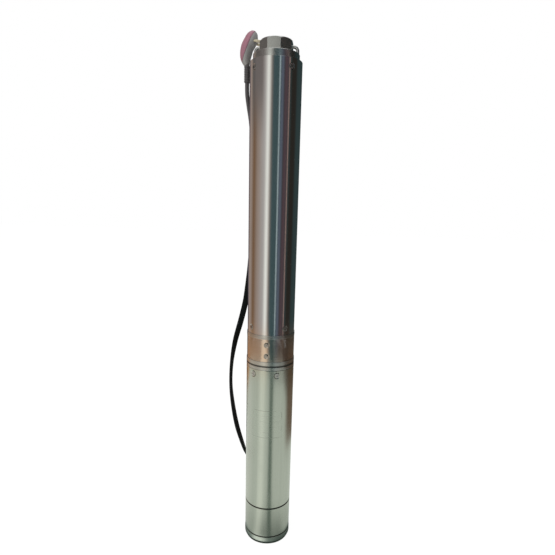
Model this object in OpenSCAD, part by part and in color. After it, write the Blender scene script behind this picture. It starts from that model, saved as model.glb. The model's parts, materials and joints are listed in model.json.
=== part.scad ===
// Borehole submersible pump: multistage wet end, strainer and canned motor.
// Millimetres, +Z up, centre of the base at the origin, front towards -Y.

/* [Motor] */
// Outer diameter of the motor shell and the bottom cap
motor_d = 96; // [92:0.5:102]
// Wall of the motor shell and the bottom cap
motor_wall = 2; // [1.5:0.1:2.5]
// Length of the motor shell
motor_l = 306; // [280:1:420]
// Height of the bottom cap with its end plate
cap_h = 85; // [82:1:100]
// Height of the end plate's rolled edge
plate_h = 17.4; // [14:0.2:20]
// Rounding of the end plate's lower edge
plate_round = 7; // [4:0.5:7.5]
// Height of the bearing housing's rim above the shell
rim_h = 6; // [4.5:0.5:9]
// Height of the pilot that centres the pump on the motor
pilot_h = 3.5; // [2.5:0.5:5]
// Bore of the stator
stator_bore_d = 48; // [44:0.5:52]
// Air gap between stator and rotor
air_gap = 0.5; // [0.3:0.05:0.8]
// Number of stator slots
slot_count = 24; // [18:6:30]
// Number of rotor bars
bar_count = 18; // [12:2:22]
// Number of thrust pads
pad_count = 6; // [4:1:8]
// Number of screws round the top of the shell
bracket_screw_count = 6; // [3:1:6]

/* [Shafts and bearings] */
// Diameter of the motor shaft in the rotor core
core_shaft_d = 24; // [21:0.5:26]
// Diameter of both motor journals
journal_d = 20; // [17:0.5:20.5]
// Diameter of the motor shaft in the seal
seal_shaft_d = 16; // [14:0.5:16.5]
// Wall of the motor bushes
bush_wall = 4; // [3:0.25:5]
// Width across the flats of the pump shaft
hex_af = 12; // [10:0.25:13]
// Diameter of the shaft coupling
coupling_d = 27; // [24:0.5:32]
// Length of the shaft coupling
coupling_l = 50; // [46:1:56]

/* [Intake] */
// Height of the intake's lower ring
foot_h = 11; // [9:0.5:14]
// Height of the strainer
strainer_h = 46; // [40:1:60]
// Height of the intake's upper ring
ring_h = 7; // [5:0.5:10]
// Length of the intake's spigot in the casing
intake_spigot_l = 22; // [20:1:30]
// Width of the intake pillars
pillar_w = 12; // [9:0.5:16]
// Thickness of the strainer sheet
strainer_t = 1; // [0.6:0.1:1.2]
// Diameter of a strainer hole
strainer_hole_d = 3.6; // [2.4:0.1:4]
// Strainer holes in one row round the sheet
strainer_columns = 40; // [24:1:44]
// Rows of strainer holes
strainer_rows = 7; // [5:2:9]

/* [Stages] */
// Outer diameter of the pump casing
casing_d = 93; // [90:0.5:98]
// Wall of the pump casing
casing_wall = 1.5; // [1:0.1:2]
// Number of pump stages
stage_count = 13; // [5:1:16]
// Height of one stage
stage_pitch = 31; // [28:0.5:36]
// Diameter of an impeller
impeller_d = 70; // [62:1:72]
// Diameter of an impeller's eye
eye_d = 30; // [27:0.5:34]
// Height of an impeller's channels
channel_h = 4.5; // [3:0.25:5]
// Thickness of vanes, shrouds and webs
vane_t = 1.8; // [1.2:0.1:2.2]
// Vanes in one impeller
vane_count = 6; // [4:1:8]
// Return vanes in one diffuser
guide_count = 7; // [5:1:9]
// Height of the top bearing bracket
top_bracket_h = 27; // [24:1:34]

/* [Discharge head] */
// Length of the head's spigot in the casing
head_spigot_l = 34; // [32:1:44]
// Diameter of the head's collar
collar_d = 82.5; // [79:0.5:87]
// Height of the head's collar
collar_h = 13; // [11:0.5:18]
// Width across the flats of the octagonal neck
neck_af = 56; // [52:0.5:62]
// Height of the octagonal neck
neck_h = 22; // [18:0.5:30]
// Bore of the outlet at the crests of its thread
outlet_d = 38.95; // [34:0.05:42]
// Diameter of the rope eye's bar
eye_bar_d = 5.5; // [4:0.25:6.5]
// Bend radius of the rope eye's bar
eye_bend_r = 7; // [6:0.25:8]

/* [Check valve] */
// Diameter of the valve chamber
chamber_d = 54; // [52:0.5:58]
// Diameter of the valve seat's bore
seat_bore_d = 30; // [27:0.5:32]
// Diameter of the poppet
poppet_d = 39; // [37:0.5:41]
// Diameter of the poppet's stem
stem_d = 6; // [5:0.25:7]
// Wire of the valve spring
spring_wire_d = 1.2; // [1:0.1:1.4]
// Turns of the valve spring
spring_turns = 4; // [3:0.5:4]

/* [Screws] */
// Shank diameter of the casing screws
casing_screw_d = 5; // [4:0.25:6]
// Head diameter of the casing screws
casing_head_d = 8.5; // [7:0.25:10]
// Head diameter of the bracket screws
bracket_head_d = 9.5; // [8:0.25:11]
// Diameter of the studs between pump and motor
stud_d = 8; // [6:0.5:8.5]
// Width across the flats of the stud nuts
nut_af = 13; // [11.5:0.5:13.5]

/* [Lead and plug] */
// Width of the flat cable
cable_w = 12; // [11:0.25:12.4]
// Thickness of the flat cable
cable_t = 6.5; // [5.5:0.25:6.9]
// Diameter of the plug
plug_d = 37; // [34:0.5:40]
// Thickness of the plug's contact base
plug_base_t = 16; // [13:0.5:18]
// Thickness of the plug's back shell
plug_shell_t = 14; // [13:0.5:18]
// Diameter of a plug pin
pin_d = 4.8; // [4:0.1:5]
// Length of a plug pin outside the base
pin_l = 19; // [17:0.5:20]

/* [Hidden] */
$fn = 96;
// Gaps of fits
fit = 0.1;
seat = 0.03;
run = 0.05;
free = 0.3;
// Levels from the base up
seam_gap = 1;
seam_round = 1.6;
z_shell0 = cap_h + seam_gap;
z_shell1 = z_shell0 + motor_l;
z_face = z_shell1 + rim_h;
z_foot1 = z_face + foot_h;
z_ring0 = z_foot1 + strainer_h;
z_case0 = z_ring0 + ring_h;
z_stack0 = z_case0 + intake_spigot_l;
z_stack1 = z_stack0 + stage_count * stage_pitch;
z_head0 = z_stack1 + top_bracket_h;
z_case1 = z_head0 + head_spigot_l;
z_neck0 = z_case1 + collar_h;
z_neck1 = z_neck0 + neck_h;
// Radii
motor_r = motor_d / 2;
motor_ri = motor_r - motor_wall;
motor_spigot_r = motor_ri - fit;
casing_r = casing_d / 2;
casing_ri = casing_r - casing_wall;
stage_r = casing_ri - fit;
journal_r = journal_d / 2;
bush_r = journal_r + bush_wall;
seal_r = seal_shaft_d / 2;
core_shaft_r = core_shaft_d / 2;
hex_r = hex_af / 2 / cos(30);
outlet_r = outlet_d / 2;
chamber_r = chamber_d / 2;
// Bottom cap and end plate
line_gap = 0.6;
line_round = 1.2;
plate_r = motor_r + 0.4;
plate_floor = 4;
plate_wall = 2.5;
plate_spigot_h = 9;
drain_d = 5;
drain_pcd = 38;
// Lower bearing housing, thrust bearing and diaphragm
z_low0 = cap_h - 25;
z_web0 = cap_h + 3;
z_web1 = cap_h + 13;
z_low1 = cap_h + 31;
thrust_r = motor_spigot_r - 12;
hub_wall = 6;
stub_r = 6;
z_stub0 = cap_h - 17;
z_disc0 = cap_h - 10;
z_disc1 = cap_h - 2;
disc_r = thrust_r - 6;
pad_ri = 14;
pad_gap_deg = 10;
z_plate0 = z_low0 + 3;
z_pad0 = z_plate0 + 6;
clamp_ri = 28;
clamp_t = 6;
membrane_t = 2.5;
cover_t = 3;
cup_r = 26;
cup_h = 16;
cover_screw_r = 2;
cover_pcd = 2 * (motor_spigot_r - 6);
// Upper bearing housing and seal
z_up0 = z_shell1 - 34;
z_deck = z_shell1 - 14;
z_seat0 = z_shell1 - 10;
z_seat1 = z_shell1 - 2;
up_wall = 6;
seal_bore_r = 17;
seal_well_r = 19;
pilot_r = motor_spigot_r - 2.3;
slinger_r = 18.5;
oring_d = 2.9;
groove_w = 3.4;
// Stator and rotor
z_core0 = z_shell0 + 87;
z_core1 = z_shell1 - 79;
stator_r = motor_spigot_r;
bore_r = stator_bore_d / 2;
rotor_r = bore_r - air_gap;
slot_r0 = bore_r + 3.2;
slot_r1 = stator_r - 7;
slot_w0 = PI * slot_r0 / slot_count;
slot_w1 = 1.1 * PI * slot_r1 / slot_count;
mouth_w = 1.8;
slot_lining = 0.3;
coil_ri = bore_r + 4;
coil_r = slot_r1 + 1.5;
coil_h0 = 38;
coil_h1 = 34;
bar_r = 2.1;
bar_pcd_r = rotor_r - 3.7;
cage_h = 8;
// Screws round the shell and the casing
motor_dish = motor_wall - 0.5;
casing_dish = casing_wall - 0.5;
z_bracket_screw = z_shell1 - 10.5;
bracket_screw_turn = -124;
bracket_screw_r = 2.5;
bracket_screw_l = 12;
bracket_head_h = 1.2;
casing_screw_r = casing_screw_d / 2;
casing_screw_l = 10;
casing_head_h = 1.6;
// Room past a screw's tip in its blind hole
tip_room = 1;
z_intake_screw = z_case0 + 12.5;
z_head_screw = z_case1 - 14;
stud_pcd_r = 38.1;
stud_r = stud_d / 2;
z_stud0 = z_face - 12;
stud_over = 8.5;
nut_h = 6.5;
// Intake
foot_r = motor_r;
foot_bore_r = 20;
groove_h = 1.4;
groove_r = motor_r - 1.5;
upper_ring_r = casing_r + 1;
strainer_r = casing_r + 0.7;
strainer_ri = strainer_r - strainer_t;
strainer_end_gap = 0.2;
pillar_r = strainer_ri - 0.2;
pillar_ri = pillar_r - 7.5;
cone_r = pillar_ri + 2;
throat_r = 20;
strainer_margin = 4.2;
plain_deg = 11;
seam_deg = -85.6;
seam_w = 0.6;
strainer_screw_r = 1.5;
strainer_screw_levels = [12, 34.5];
// Stage levels above its plate's underside
plate_t = 2;
eye_r = eye_d / 2;
eye_wall = 2.3;
z_shroud = 6;
z_channel = z_shroud + vane_t;
z_top_shroud = z_channel + channel_h;
z_impeller1 = z_top_shroud + vane_t;
z_guide_web = z_impeller1 + 1.5;
z_guide = z_guide_web + 2.4;
impeller_r = impeller_d / 2;
hub_eye_r = 9.5;
hub_gap = 0.05;
hub_r = 11;
boss_wall = 3;
boss_clear = 3;
guide_wall = 2;
guide_web_r = impeller_r + 1.5;
guide_ri = 20;
arc_r = 0.64 * impeller_r;
arc_d = 0.46 * impeller_r;
guide_arc_r = 30;
guide_arc_d = 24;
// Pump shaft and coupling
z_spline0 = z_face + 10;
z_spline1 = z_face + 38.3;
z_coupling0 = z_face + 17;
z_pump_shaft0 = z_face + 42;
z_collar0 = z_stack0 - 6;
pump_end_r = 7.95;
spline_root_r = 6.9;
spline_tip_r = 7.9;
spline_teeth = 14;
sleeve_r = hex_r + 1.4;
sleeve_l = top_bracket_h - 4;
shaft_end_r = 5;
top_bush_r = sleeve_r + 4;
arm_w = 6;
// Check valve levels
seat_h = 11;
seal_t = 2;
disc_t = 4;
guide_h = 10;
guide_rim_h = 5;
guide_rim_w = 4.5;
stem_over = 8;
z_seat_top = z_head0 + seat_h;
z_poppet = z_seat_top + seal_t;
z_poppet1 = z_poppet + disc_t;
chamber_h = head_spigot_l + collar_h - 7;
z_guide_top = z_head0 + chamber_h;
z_guide_hub = z_guide_top - guide_h;
stem_r = stem_d / 2;
guide_hub_r = stem_r + 3.5;
spring_r = stem_r + 2.2;
// Neck and rope eyes
collar_r = collar_d / 2;
collar_chamfer = 1;
neck_corner = 2.5;
neck_chamfer_w = 0.4;
neck_chamfer_h = 3;
spigot_step = 1;
thread_h = neck_h - 1;
eye_leg_x = collar_r - collar_chamfer - eye_bar_d / 2;
eye_bar_z = z_neck0 + eye_bend_r + 5;
eye_bar_r = eye_bar_d / 2;
// Gland
z_gland = z_shell1 - 22;
bush_w = 17;
bush_h = 11;
sleeve_w = 15;
sleeve_h = 9.4;
boss_w = 30;
boss_h = 24;
boss_y = motor_r + 9;
gland_plate_t = 2.5;
gland_screw_r = 2;
gland_screw_x = 11.6;
sleeve_out = 8;
// Plug
plug_y = 21;
plug_face_x = -(neck_af / 2 + 11);
plug_tilt = 10;
pin_tip_l = 1.5;
plug_z = z_neck1 + (pin_l - pin_tip_l) * sin(plug_tilt) + pin_d / 2 * cos(plug_tilt) + 0.02;
plug_r = plug_d / 2;
plug_round = 12;
pin_spacing = 19;
plug_drop = 37.6;
boot_x = -57;
boot_w = 12;
boot_r = 12.5;
boot_tip_r = 7.8;
boot_taper_h = plug_drop - 12;
rib_count = 7;
rib_pitch = 4;
// Route of the flat cable from the gland to the plug: x, y, height above the gland and the
// bearing of its width in degrees. The heights stretch with the distance to the plug.
route = [
    [0, 47, 0, 0], [0, 57, 0, 0], [0, 67, 0, 0], [0, 75, 0, 0], [0, 92, -4, 0],
    [0, 107, -14.5, 0], [0, 118, -31, 0], [0.5, 125.5, -54, 0], [1.5, 130, -84, -2],
    [3, 133, -122, -8], [5, 134, -158, -20], [5.2, 133, -190.5, -31], [3.2, 130.4, -209.3, -36],
    [-2.8, 123, -225.9, -39], [-14.6, 108.2, -240.3, -41], [-29.1, 90.1, -245.5, -43],
    [-42, 74, -241.5, -50], [-53.4, 59.7, -229.4, -62], [-60.7, 50.6, -212, -76],
    [-67, 43.5, -188, -92], [-78, 36, -142, -112], [-86, 32, -92, -100], [-90, 29, -42, -83],
    [-88, 29, 8, -92], [-81, 31, 55, -130], [-70, 34, 98, -164], [-61, 37, 138, -170],
    [-56, 39, 175, -170], [-52, 43, 218, -166], [-49, 45, 268, -158], [-48, 46, 328, -146],
    [-47.5, 45.5, 388, -132], [-48.5, 42, 440, -118], [-51.5, 35, 485, -104], [-54.8, 27, 512, -94],
    [-56.6, 22.6, 529, -91], [-57, 21.2, 541, -90], [-57, 21, 552, -90], [-57, 21, 566, -90],
    [-57, 21, 580.7, -90]
];
route_steps = 2;
route_rise = plug_z - plug_drop - z_gland - 0.12;

// Shared shapes

module tube(ro, ri, z0, z1) {
    translate([0, 0, z0])
        difference() {
            cylinder(r = ro, h = z1 - z0);
            translate([0, 0, -1])
                cylinder(r = ri, h = z1 - z0 + 2);
        }
}

// What a rounding takes off the outer corner at x and y of a section that lies above it (up = 1)
// or below it (up = -1)
module corner_cut(x, y, r, up) {
    difference() {
        translate([x - r, up > 0 ? y - 1 : y - r])
            square([r + 1, r + 1]);
        translate([x - r, y + up * r])
            circle(r);
    }
}

// A tube whose outer edges are rolled over at its lower and upper end
module rolled_tube(ro, ri, z0, z1, low_r, high_r) {
    rotate_extrude()
        difference() {
            translate([ri, z0])
                square([ro - ri, z1 - z0]);
            corner_cut(ro, z0, low_r, 1);
            corner_cut(ro, z1, high_r, -1);
        }
}

module ring_of(count, first = 0) {
    for (i = [0 : count - 1])
        rotate(first + i * 360 / count)
            children();
}

// A hole or shank along +X between two distances from the axis
module radial(r, x0, x1, z) {
    translate([x0, 0, z])
        rotate([0, 90, 0])
            cylinder(r = r, h = x1 - x0);
}

// A dish in the surface at x, which takes a screw's head along +X
module dish(x, z, head_r, depth) {
    translate([x - depth, 0, z])
        rotate([0, 90, 0])
            cylinder(r1 = head_r + free, r2 = head_r + free + 1.2 * (depth + 1), h = depth + 1);
}

// A screw along +X whose head sits on the surface at x
module radial_screw(x, z, shank_r, shank_l, head_r, head_h) {
    radial(shank_r, x - shank_l, x + 0.5, z);
    difference() {
        radial(head_r, x, x + head_h, z);
        translate([x + 0.4 * head_h, 0, z])
            rotate([0, 90, 0])
                cylinder(r = 0.5 * head_r, h = head_h, $fn = 6);
    }
}

module hex_prism(af, z0, z1) {
    translate([0, 0, z0])
        cylinder(r = af / 2 / cos(30), h = z1 - z0, $fn = 6);
}

module stadium(w, h) {
    square([w - h, h], center = true);
    for (s = [-1, 1])
        translate([s * (w - h) / 2, 0])
            circle(d = h);
}

// A stadium prism along +Y at the height of the gland
module gland_prism(w, h, y0, y1) {
    translate([0, y1, z_gland])
        rotate([90, 0, 0])
            linear_extrude(y1 - y0)
                stadium(w, h);
}

// One half of a thin ring, as a curved vane between two radii
module vane_2d(ri, ro, ring_r, ring_d, t) {
    intersection() {
        difference() {
            circle(ro);
            circle(ri);
        }
        translate([ring_d, 0])
            difference() {
                circle(ring_r + t / 2);
                circle(ring_r - t / 2);
            }
        translate([-2 * ro, 0])
            square([4 * ro, 2 * ro]);
    }
}

module each_stage() {
    for (i = [0 : stage_count - 1])
        translate([0, 0, z_stack0 + i * stage_pitch])
            children();
}

// Discharge head and check valve

module head_neck() {
    intersection() {
        translate([0, 0, z_neck0 - 1])
            rotate(22.5)
                cylinder(r = neck_af / 2 / cos(22.5), h = neck_h + 1, $fn = 8);
        translate([0, 0, z_neck0 - 1])
            rotate_extrude()
                polygon([
                    [0, 0], [neck_af / 2 + neck_corner, 0],
                    [neck_af / 2 + neck_corner, neck_h + 1 - neck_chamfer_h],
                    [neck_af / 2 - neck_chamfer_w, neck_h + 1], [0, neck_h + 1]
                ]);
    }
}

module discharge_head() {
    color([0.62, 0.61, 0.58])
        difference() {
            union() {
                rotate_extrude()
                    polygon([
                        [0, z_head0], [stage_r, z_head0], [stage_r, z_case1 - spigot_step],
                        [collar_r, z_case1 - spigot_step], [collar_r, z_neck0 - collar_chamfer],
                        [collar_r - collar_chamfer, z_neck0], [0, z_neck0]
                    ]);
                head_neck();
            }
            rotate_extrude()
                polygon([
                    [0, z_head0 - 1], [chamber_r, z_head0 - 1], [chamber_r, z_guide_top],
                    [outlet_r, z_neck1 - thread_h], [outlet_r, z_neck1 - 1.5],
                    [outlet_r + 2.5, z_neck1 + 1], [0, z_neck1 + 1]
                ]);
            ring_of(4, 45)
                radial(casing_screw_r + seat, chamber_r + 6, casing_r, z_head_screw);
        }
}

module rope_eyes() {
    color([0.72, 0.71, 0.69])
        for (s = [-1, 1])
            scale([s, 1, 1]) {
                translate([eye_leg_x, 0, z_neck0])
                    cylinder(r = eye_bar_r, h = eye_bar_z - eye_bend_r - z_neck0);
                translate([eye_leg_x - eye_bend_r, 0, eye_bar_z - eye_bend_r])
                    rotate([90, 0, 0])
                        rotate_extrude(angle = 90)
                            translate([eye_bend_r, 0])
                                circle(eye_bar_r);
                translate([neck_af / 2, 0, eye_bar_z])
                    rotate([0, 90, 0])
                        cylinder(r = eye_bar_r, h = eye_leg_x - eye_bend_r - neck_af / 2);
            }
}

module valve_seat() {
    color([0.72, 0.55, 0.30])
        rotate_extrude()
            polygon([
                [seat_bore_d / 2, z_head0], [chamber_r - seat, z_head0],
                [chamber_r - seat, z_seat_top - 3], [poppet_d / 2 + 1.5, z_seat_top],
                [seat_bore_d / 2, z_seat_top]
            ]);
}

module valve_poppet() {
    color([0.85, 0.84, 0.80])
        rotate_extrude()
            polygon([
                [0, z_poppet - 5], [6, z_poppet - 5], [10, z_poppet], [poppet_d / 2, z_poppet],
                [poppet_d / 2, z_poppet1 - 1.5], [poppet_d / 2 - 4, z_poppet1], [stem_r, z_poppet1],
                [stem_r, z_guide_top - 2], [0, z_guide_top - 2]
            ]);
}

module poppet_seal() {
    color([0.08, 0.08, 0.08])
        tube(poppet_d / 2 - 0.5, 10.5, z_seat_top + run, z_poppet);
}

function spring_point(a, b) =
    let (z0 = z_poppet1 + spring_wire_d / 2 + run)
    let (z1 = z_guide_hub - spring_wire_d / 2 - run)
    let (s = a / (360 * spring_turns))
    let (r = spring_r + spring_wire_d / 2 * cos(b))
    [r * cos(a), r * sin(a), z0 + (z1 - z0) * s + spring_wire_d / 2 * sin(b)];

module valve_spring() {
    steps = round(16 * spring_turns);
    sides = 8;
    points = [
        for (i = [0 : steps])
            for (j = [0 : sides - 1])
                spring_point(i * 360 * spring_turns / steps, j * 360 / sides)
    ];
    color([0.8, 0.8, 0.82])
        swept(points, steps + 1, sides);
}

// The skin of a tube whose rings of points lie one after another
module swept(points, rings, sides) {
    sides_of = [
        for (i = [0 : rings - 2])
            for (j = [0 : sides - 1])
                for (k = [0, 1])
                    let (a = i * sides + j)
                    let (b = i * sides + (j + 1) % sides)
                    k == 0 ? [a, b, a + sides] : [b, b + sides, a + sides]
    ];
    first = [for (j = [sides - 1 : -1 : 0]) j];
    last = [for (j = [0 : sides - 1]) (rings - 1) * sides + j];
    polyhedron(points, concat(sides_of, [first, last]));
}

module valve_guide() {
    color([0.82, 0.80, 0.74])
        difference() {
            union() {
                tube(chamber_r - seat, chamber_r - guide_rim_w, z_guide_top - guide_rim_h, z_guide_top);
                translate([0, 0, z_guide_hub])
                    cylinder(r = guide_hub_r, h = guide_h);
                ring_of(3, 90)
                    translate([0, -2, z_guide_top - guide_rim_h])
                        cube([chamber_r - guide_rim_w / 2, 4, guide_rim_h]);
            }
            translate([0, 0, z_guide_hub - 1])
                cylinder(r = stem_r + run, h = guide_h + 2);
        }
}

// Casing and stages

module pump_casing() {
    color([0.75, 0.75, 0.74])
        difference() {
            tube(casing_r, casing_ri, z_case0, z_case1);
            ring_of(4, 45)
                for (z = [z_head_screw, z_intake_screw]) {
                    radial(casing_screw_r + fit, casing_ri - 2, casing_r + 2, z);
                    dish(casing_r, z, casing_head_d / 2, casing_dish);
                }
        }
}

module head_screws() {
    color([0.55, 0.55, 0.55])
        ring_of(4, 45)
            radial_screw(casing_r - casing_dish, z_head_screw, casing_screw_r, casing_screw_l,
                casing_head_d / 2, casing_head_h);
}

module intake_screws() {
    color([0.55, 0.55, 0.55])
        ring_of(4, 45)
            radial_screw(casing_r - casing_dish, z_intake_screw, casing_screw_r, casing_screw_l,
                casing_head_d / 2, casing_head_h);
}

module impeller() {
    difference() {
        union() {
            rotate_extrude()
                polygon([
                    [0, 0], [hub_eye_r, 0], [hub_eye_r, z_top_shroud - 2],
                    [hub_eye_r + 3, z_top_shroud], [impeller_r, z_top_shroud],
                    [impeller_r, z_impeller1], [hub_r, z_impeller1],
                    [hub_r, stage_pitch - hub_gap], [0, stage_pitch - hub_gap]
                ]);
            rotate_extrude()
                polygon([
                    [eye_r, 0.6], [eye_r + eye_wall, 0.6], [eye_r + eye_wall, z_shroud],
                    [impeller_r, z_shroud], [impeller_r, z_channel], [eye_r, z_channel]
                ]);
            translate([0, 0, z_channel - 0.2])
                linear_extrude(channel_h + 0.4)
                    ring_of(vane_count)
                        vane_2d(eye_r + 0.6, impeller_r - 0.4, arc_r, arc_d, vane_t);
        }
        hex_prism(hex_af + 2 * fit, -1, stage_pitch + 1);
    }
}

module impellers() {
    color([0.80, 0.78, 0.68])
        each_stage()
            impeller();
}

module diffuser() {
    tube(stage_r, stage_r - guide_wall, plate_t, stage_pitch);
    rotate_extrude()
        polygon([
            [hub_r + free, z_guide_web], [guide_web_r, z_guide_web], [guide_web_r, z_guide],
            [hub_r + free + boss_wall, z_guide], [hub_r + free + boss_wall, stage_pitch - boss_clear],
            [hub_r + free, stage_pitch - boss_clear]
        ]);
    translate([0, 0, z_guide - 0.4])
        linear_extrude(stage_pitch - z_guide + 0.4)
            ring_of(guide_count)
                mirror([0, 1])
                    vane_2d(guide_ri, stage_r - guide_wall / 2, guide_arc_r, guide_arc_d, vane_t);
}

module diffusers() {
    color([0.16, 0.16, 0.17])
        each_stage()
            diffuser();
}

module stage_plates() {
    color([0.70, 0.70, 0.70])
        each_stage()
            tube(stage_r, eye_r + eye_wall + 0.5, 0, plate_t);
}

module top_bracket() {
    color([0.60, 0.60, 0.58])
        difference() {
            union() {
                tube(stage_r, stage_r - 4, z_stack1, z_head0);
                translate([0, 0, z_stack1 + 2])
                    cylinder(r = top_bush_r + 5, h = top_bracket_h - 7);
                ring_of(4, 45)
                    translate([0, -arm_w / 2, z_stack1 + 4])
                        cube([stage_r - 2, arm_w, top_bracket_h - 13]);
            }
            translate([0, 0, z_stack1 - 1])
                cylinder(r = top_bush_r + seat, h = top_bracket_h + 2);
        }
}

module top_bush() {
    color([0.09, 0.09, 0.09])
        tube(top_bush_r, sleeve_r + run, z_stack1 + 2, z_head0 - 5);
}

// Pump shaft and coupling

module pump_shaft() {
    color([0.70, 0.70, 0.72]) {
        translate([0, 0, z_pump_shaft0])
            cylinder(r = pump_end_r, h = z_collar0 - z_pump_shaft0);
        translate([0, 0, z_collar0])
            cylinder(r = hub_eye_r, h = z_stack0 - z_collar0);
        hex_prism(hex_af, z_stack0 - 1, z_stack1 + sleeve_l);
        translate([0, 0, z_stack1 + sleeve_l - 1])
            cylinder(r = shaft_end_r, h = 8);
    }
}

module journal_sleeve() {
    color([0.78, 0.78, 0.80])
        difference() {
            translate([0, 0, z_stack1])
                cylinder(r = sleeve_r, h = sleeve_l);
            hex_prism(hex_af + 2 * fit, z_stack1 - 1, z_head0);
        }
}

module shaft_nut() {
    color([0.60, 0.60, 0.62])
        difference() {
            hex_prism(18, z_stack1 + sleeve_l, z_stack1 + sleeve_l + 6);
            translate([0, 0, z_stack1])
                cylinder(r = shaft_end_r + seat, h = top_bracket_h + 10);
        }
}

module spline_2d(root_r, tip_r, tooth_w) {
    circle(root_r);
    ring_of(spline_teeth)
        translate([root_r - 1, -tooth_w / 2])
            square([tip_r - root_r + 1, tooth_w]);
}

module shaft_coupling() {
    color([0.58, 0.58, 0.60])
        difference() {
            translate([0, 0, z_coupling0])
                cylinder(r = coupling_d / 2, h = coupling_l);
            translate([0, 0, z_coupling0 - 1])
                linear_extrude(z_pump_shaft0 - z_coupling0 - 1)
                    spline_2d(spline_root_r + fit, spline_tip_r + fit, 1.8);
            translate([0, 0, z_pump_shaft0 - 2.5])
                cylinder(r = pump_end_r + seat, h = coupling_l);
            ring_of(2, 30)
                radial(2.5 + seat, 0, coupling_d, z_pump_shaft0 + 10);
        }
}

module coupling_screws() {
    color([0.20, 0.20, 0.21])
        ring_of(2, 30)
            radial(2.5, pump_end_r + fit, coupling_d / 2 - 0.5, z_pump_shaft0 + 10);
}

// Intake

module intake_housing() {
    color([0.66, 0.66, 0.64])
        difference() {
            union() {
                rotate_extrude()
                    polygon([
                        [pilot_r + fit, z_face], [groove_r, z_face], [groove_r, z_face + groove_h],
                        [foot_r, z_face + groove_h], [foot_r, z_foot1], [foot_bore_r, z_foot1],
                        [foot_bore_r, z_face + pilot_h + 0.5], [pilot_r + fit, z_face + pilot_h + 0.5]
                    ]);
                rotate_extrude()
                    polygon([
                        [cone_r, z_ring0], [upper_ring_r, z_ring0], [upper_ring_r, z_case0],
                        [stage_r, z_case0], [stage_r, z_stack0], [throat_r, z_stack0],
                        [throat_r, z_stack0 - 6]
                    ]);
                intersection() {
                    tube(pillar_r, pillar_ri, z_foot1 - 1, z_ring0 + 1);
                    ring_of(4)
                        translate([pillar_ri - 2, -pillar_w / 2, z_foot1 - 1])
                            cube([20, pillar_w, strainer_h + 2]);
                }
            }
            ring_of(4, 45) {
                translate([stud_pcd_r, 0, z_face - 1])
                    cylinder(r = stud_r + free, h = foot_h + 2);
                radial(casing_screw_r + seat, casing_r - casing_dish - casing_screw_l - tip_room, casing_r,
                    z_intake_screw);
            }
            for (dz = strainer_screw_levels)
                rotate(-90)
                    radial(strainer_screw_r + seat, pillar_r - 6.5, pillar_r + 2, z_foot1 + dz);
        }
}

module intake_strainer() {
    z0 = z_foot1 + strainer_end_gap;
    z1 = z_ring0 - strainer_end_gap;
    row_step = (z1 - z0 - 2 * strainer_margin) / (strainer_rows - 1);
    turn = 360 / strainer_columns;
    color([0.74, 0.70, 0.66])
        difference() {
            tube(strainer_r, strainer_ri, z0, z1);
            for (i = [0 : strainer_rows - 1])
                for (j = [0 : strainer_columns - 1])
                    let (a = (j + (i % 2) / 2) * turn)
                    if (a > plain_deg && a < 360 - plain_deg)
                        rotate(a - 90)
                            radial(strainer_hole_d / 2, strainer_ri - 2, strainer_r + 2,
                                   z0 + strainer_margin + i * row_step);
            rotate(seam_deg)
                translate([strainer_ri - 2, -seam_w / 2, z0 - 1])
                    cube([8, seam_w, strainer_h + 2]);
            for (dz = strainer_screw_levels)
                rotate(-90)
                    radial(strainer_screw_r + fit, strainer_ri - 2, strainer_r + 2, z_foot1 + dz);
        }
}

module strainer_screws() {
    color([0.50, 0.50, 0.50])
        for (dz = strainer_screw_levels)
            rotate(-90)
                radial_screw(strainer_r, z_foot1 + dz, strainer_screw_r, 6, 2.9, 1.5);
}

// Motor outside

module motor_shell() {
    color([0.69, 0.70, 0.66])
        difference() {
            rolled_tube(motor_r, motor_ri, z_shell0, z_shell1, seam_round, line_round);
            ring_of(bracket_screw_count, bracket_screw_turn) {
                radial(bracket_screw_r + fit, motor_ri - 2, motor_r + 2, z_bracket_screw);
                dish(motor_r, z_bracket_screw, bracket_head_d / 2, motor_dish);
            }
            gland_prism(bush_w + 2 * fit, bush_h + 2 * fit, 30, motor_r + 2);
        }
}

module bracket_screws() {
    color([0.62, 0.62, 0.60])
        ring_of(bracket_screw_count, bracket_screw_turn)
            radial_screw(motor_r - motor_dish, z_bracket_screw, bracket_screw_r, bracket_screw_l,
                bracket_head_d / 2, bracket_head_h);
}

module bottom_cap() {
    color([0.69, 0.70, 0.66])
        rolled_tube(motor_r, motor_ri, plate_h + line_gap, cap_h, line_round, seam_round);
}

module end_plate() {
    color([0.70, 0.70, 0.68])
        difference() {
            rotate_extrude()
                difference() {
                    union() {
                        translate([0, plate_round])
                            square([plate_r, plate_h - plate_round]);
                        square([plate_r - plate_round, plate_h]);
                        intersection() {
                            translate([plate_r - plate_round, plate_round])
                                circle(plate_round);
                            square([plate_r, plate_h]);
                        }
                        square([motor_spigot_r, plate_h + plate_spigot_h]);
                    }
                    translate([0, plate_floor])
                        square([motor_spigot_r - plate_wall, 2 * cap_h]);
                    corner_cut(plate_r, plate_h, line_round, -1);
                    translate([motor_spigot_r, 0])
                        square([plate_r, plate_round - sqrt(plate_round * plate_round
                            - pow(motor_spigot_r - plate_r + plate_round, 2))]);
                }
            ring_of(6)
                translate([drain_pcd / 2, 0, -1])
                    cylinder(d = drain_d, h = plate_floor + 2);
        }
}

// Motor inside

module o_ring_groove(z) {
    tube(motor_ri + 1, motor_spigot_r - oring_d, z - groove_w / 2, z + groove_w / 2);
}

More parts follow.
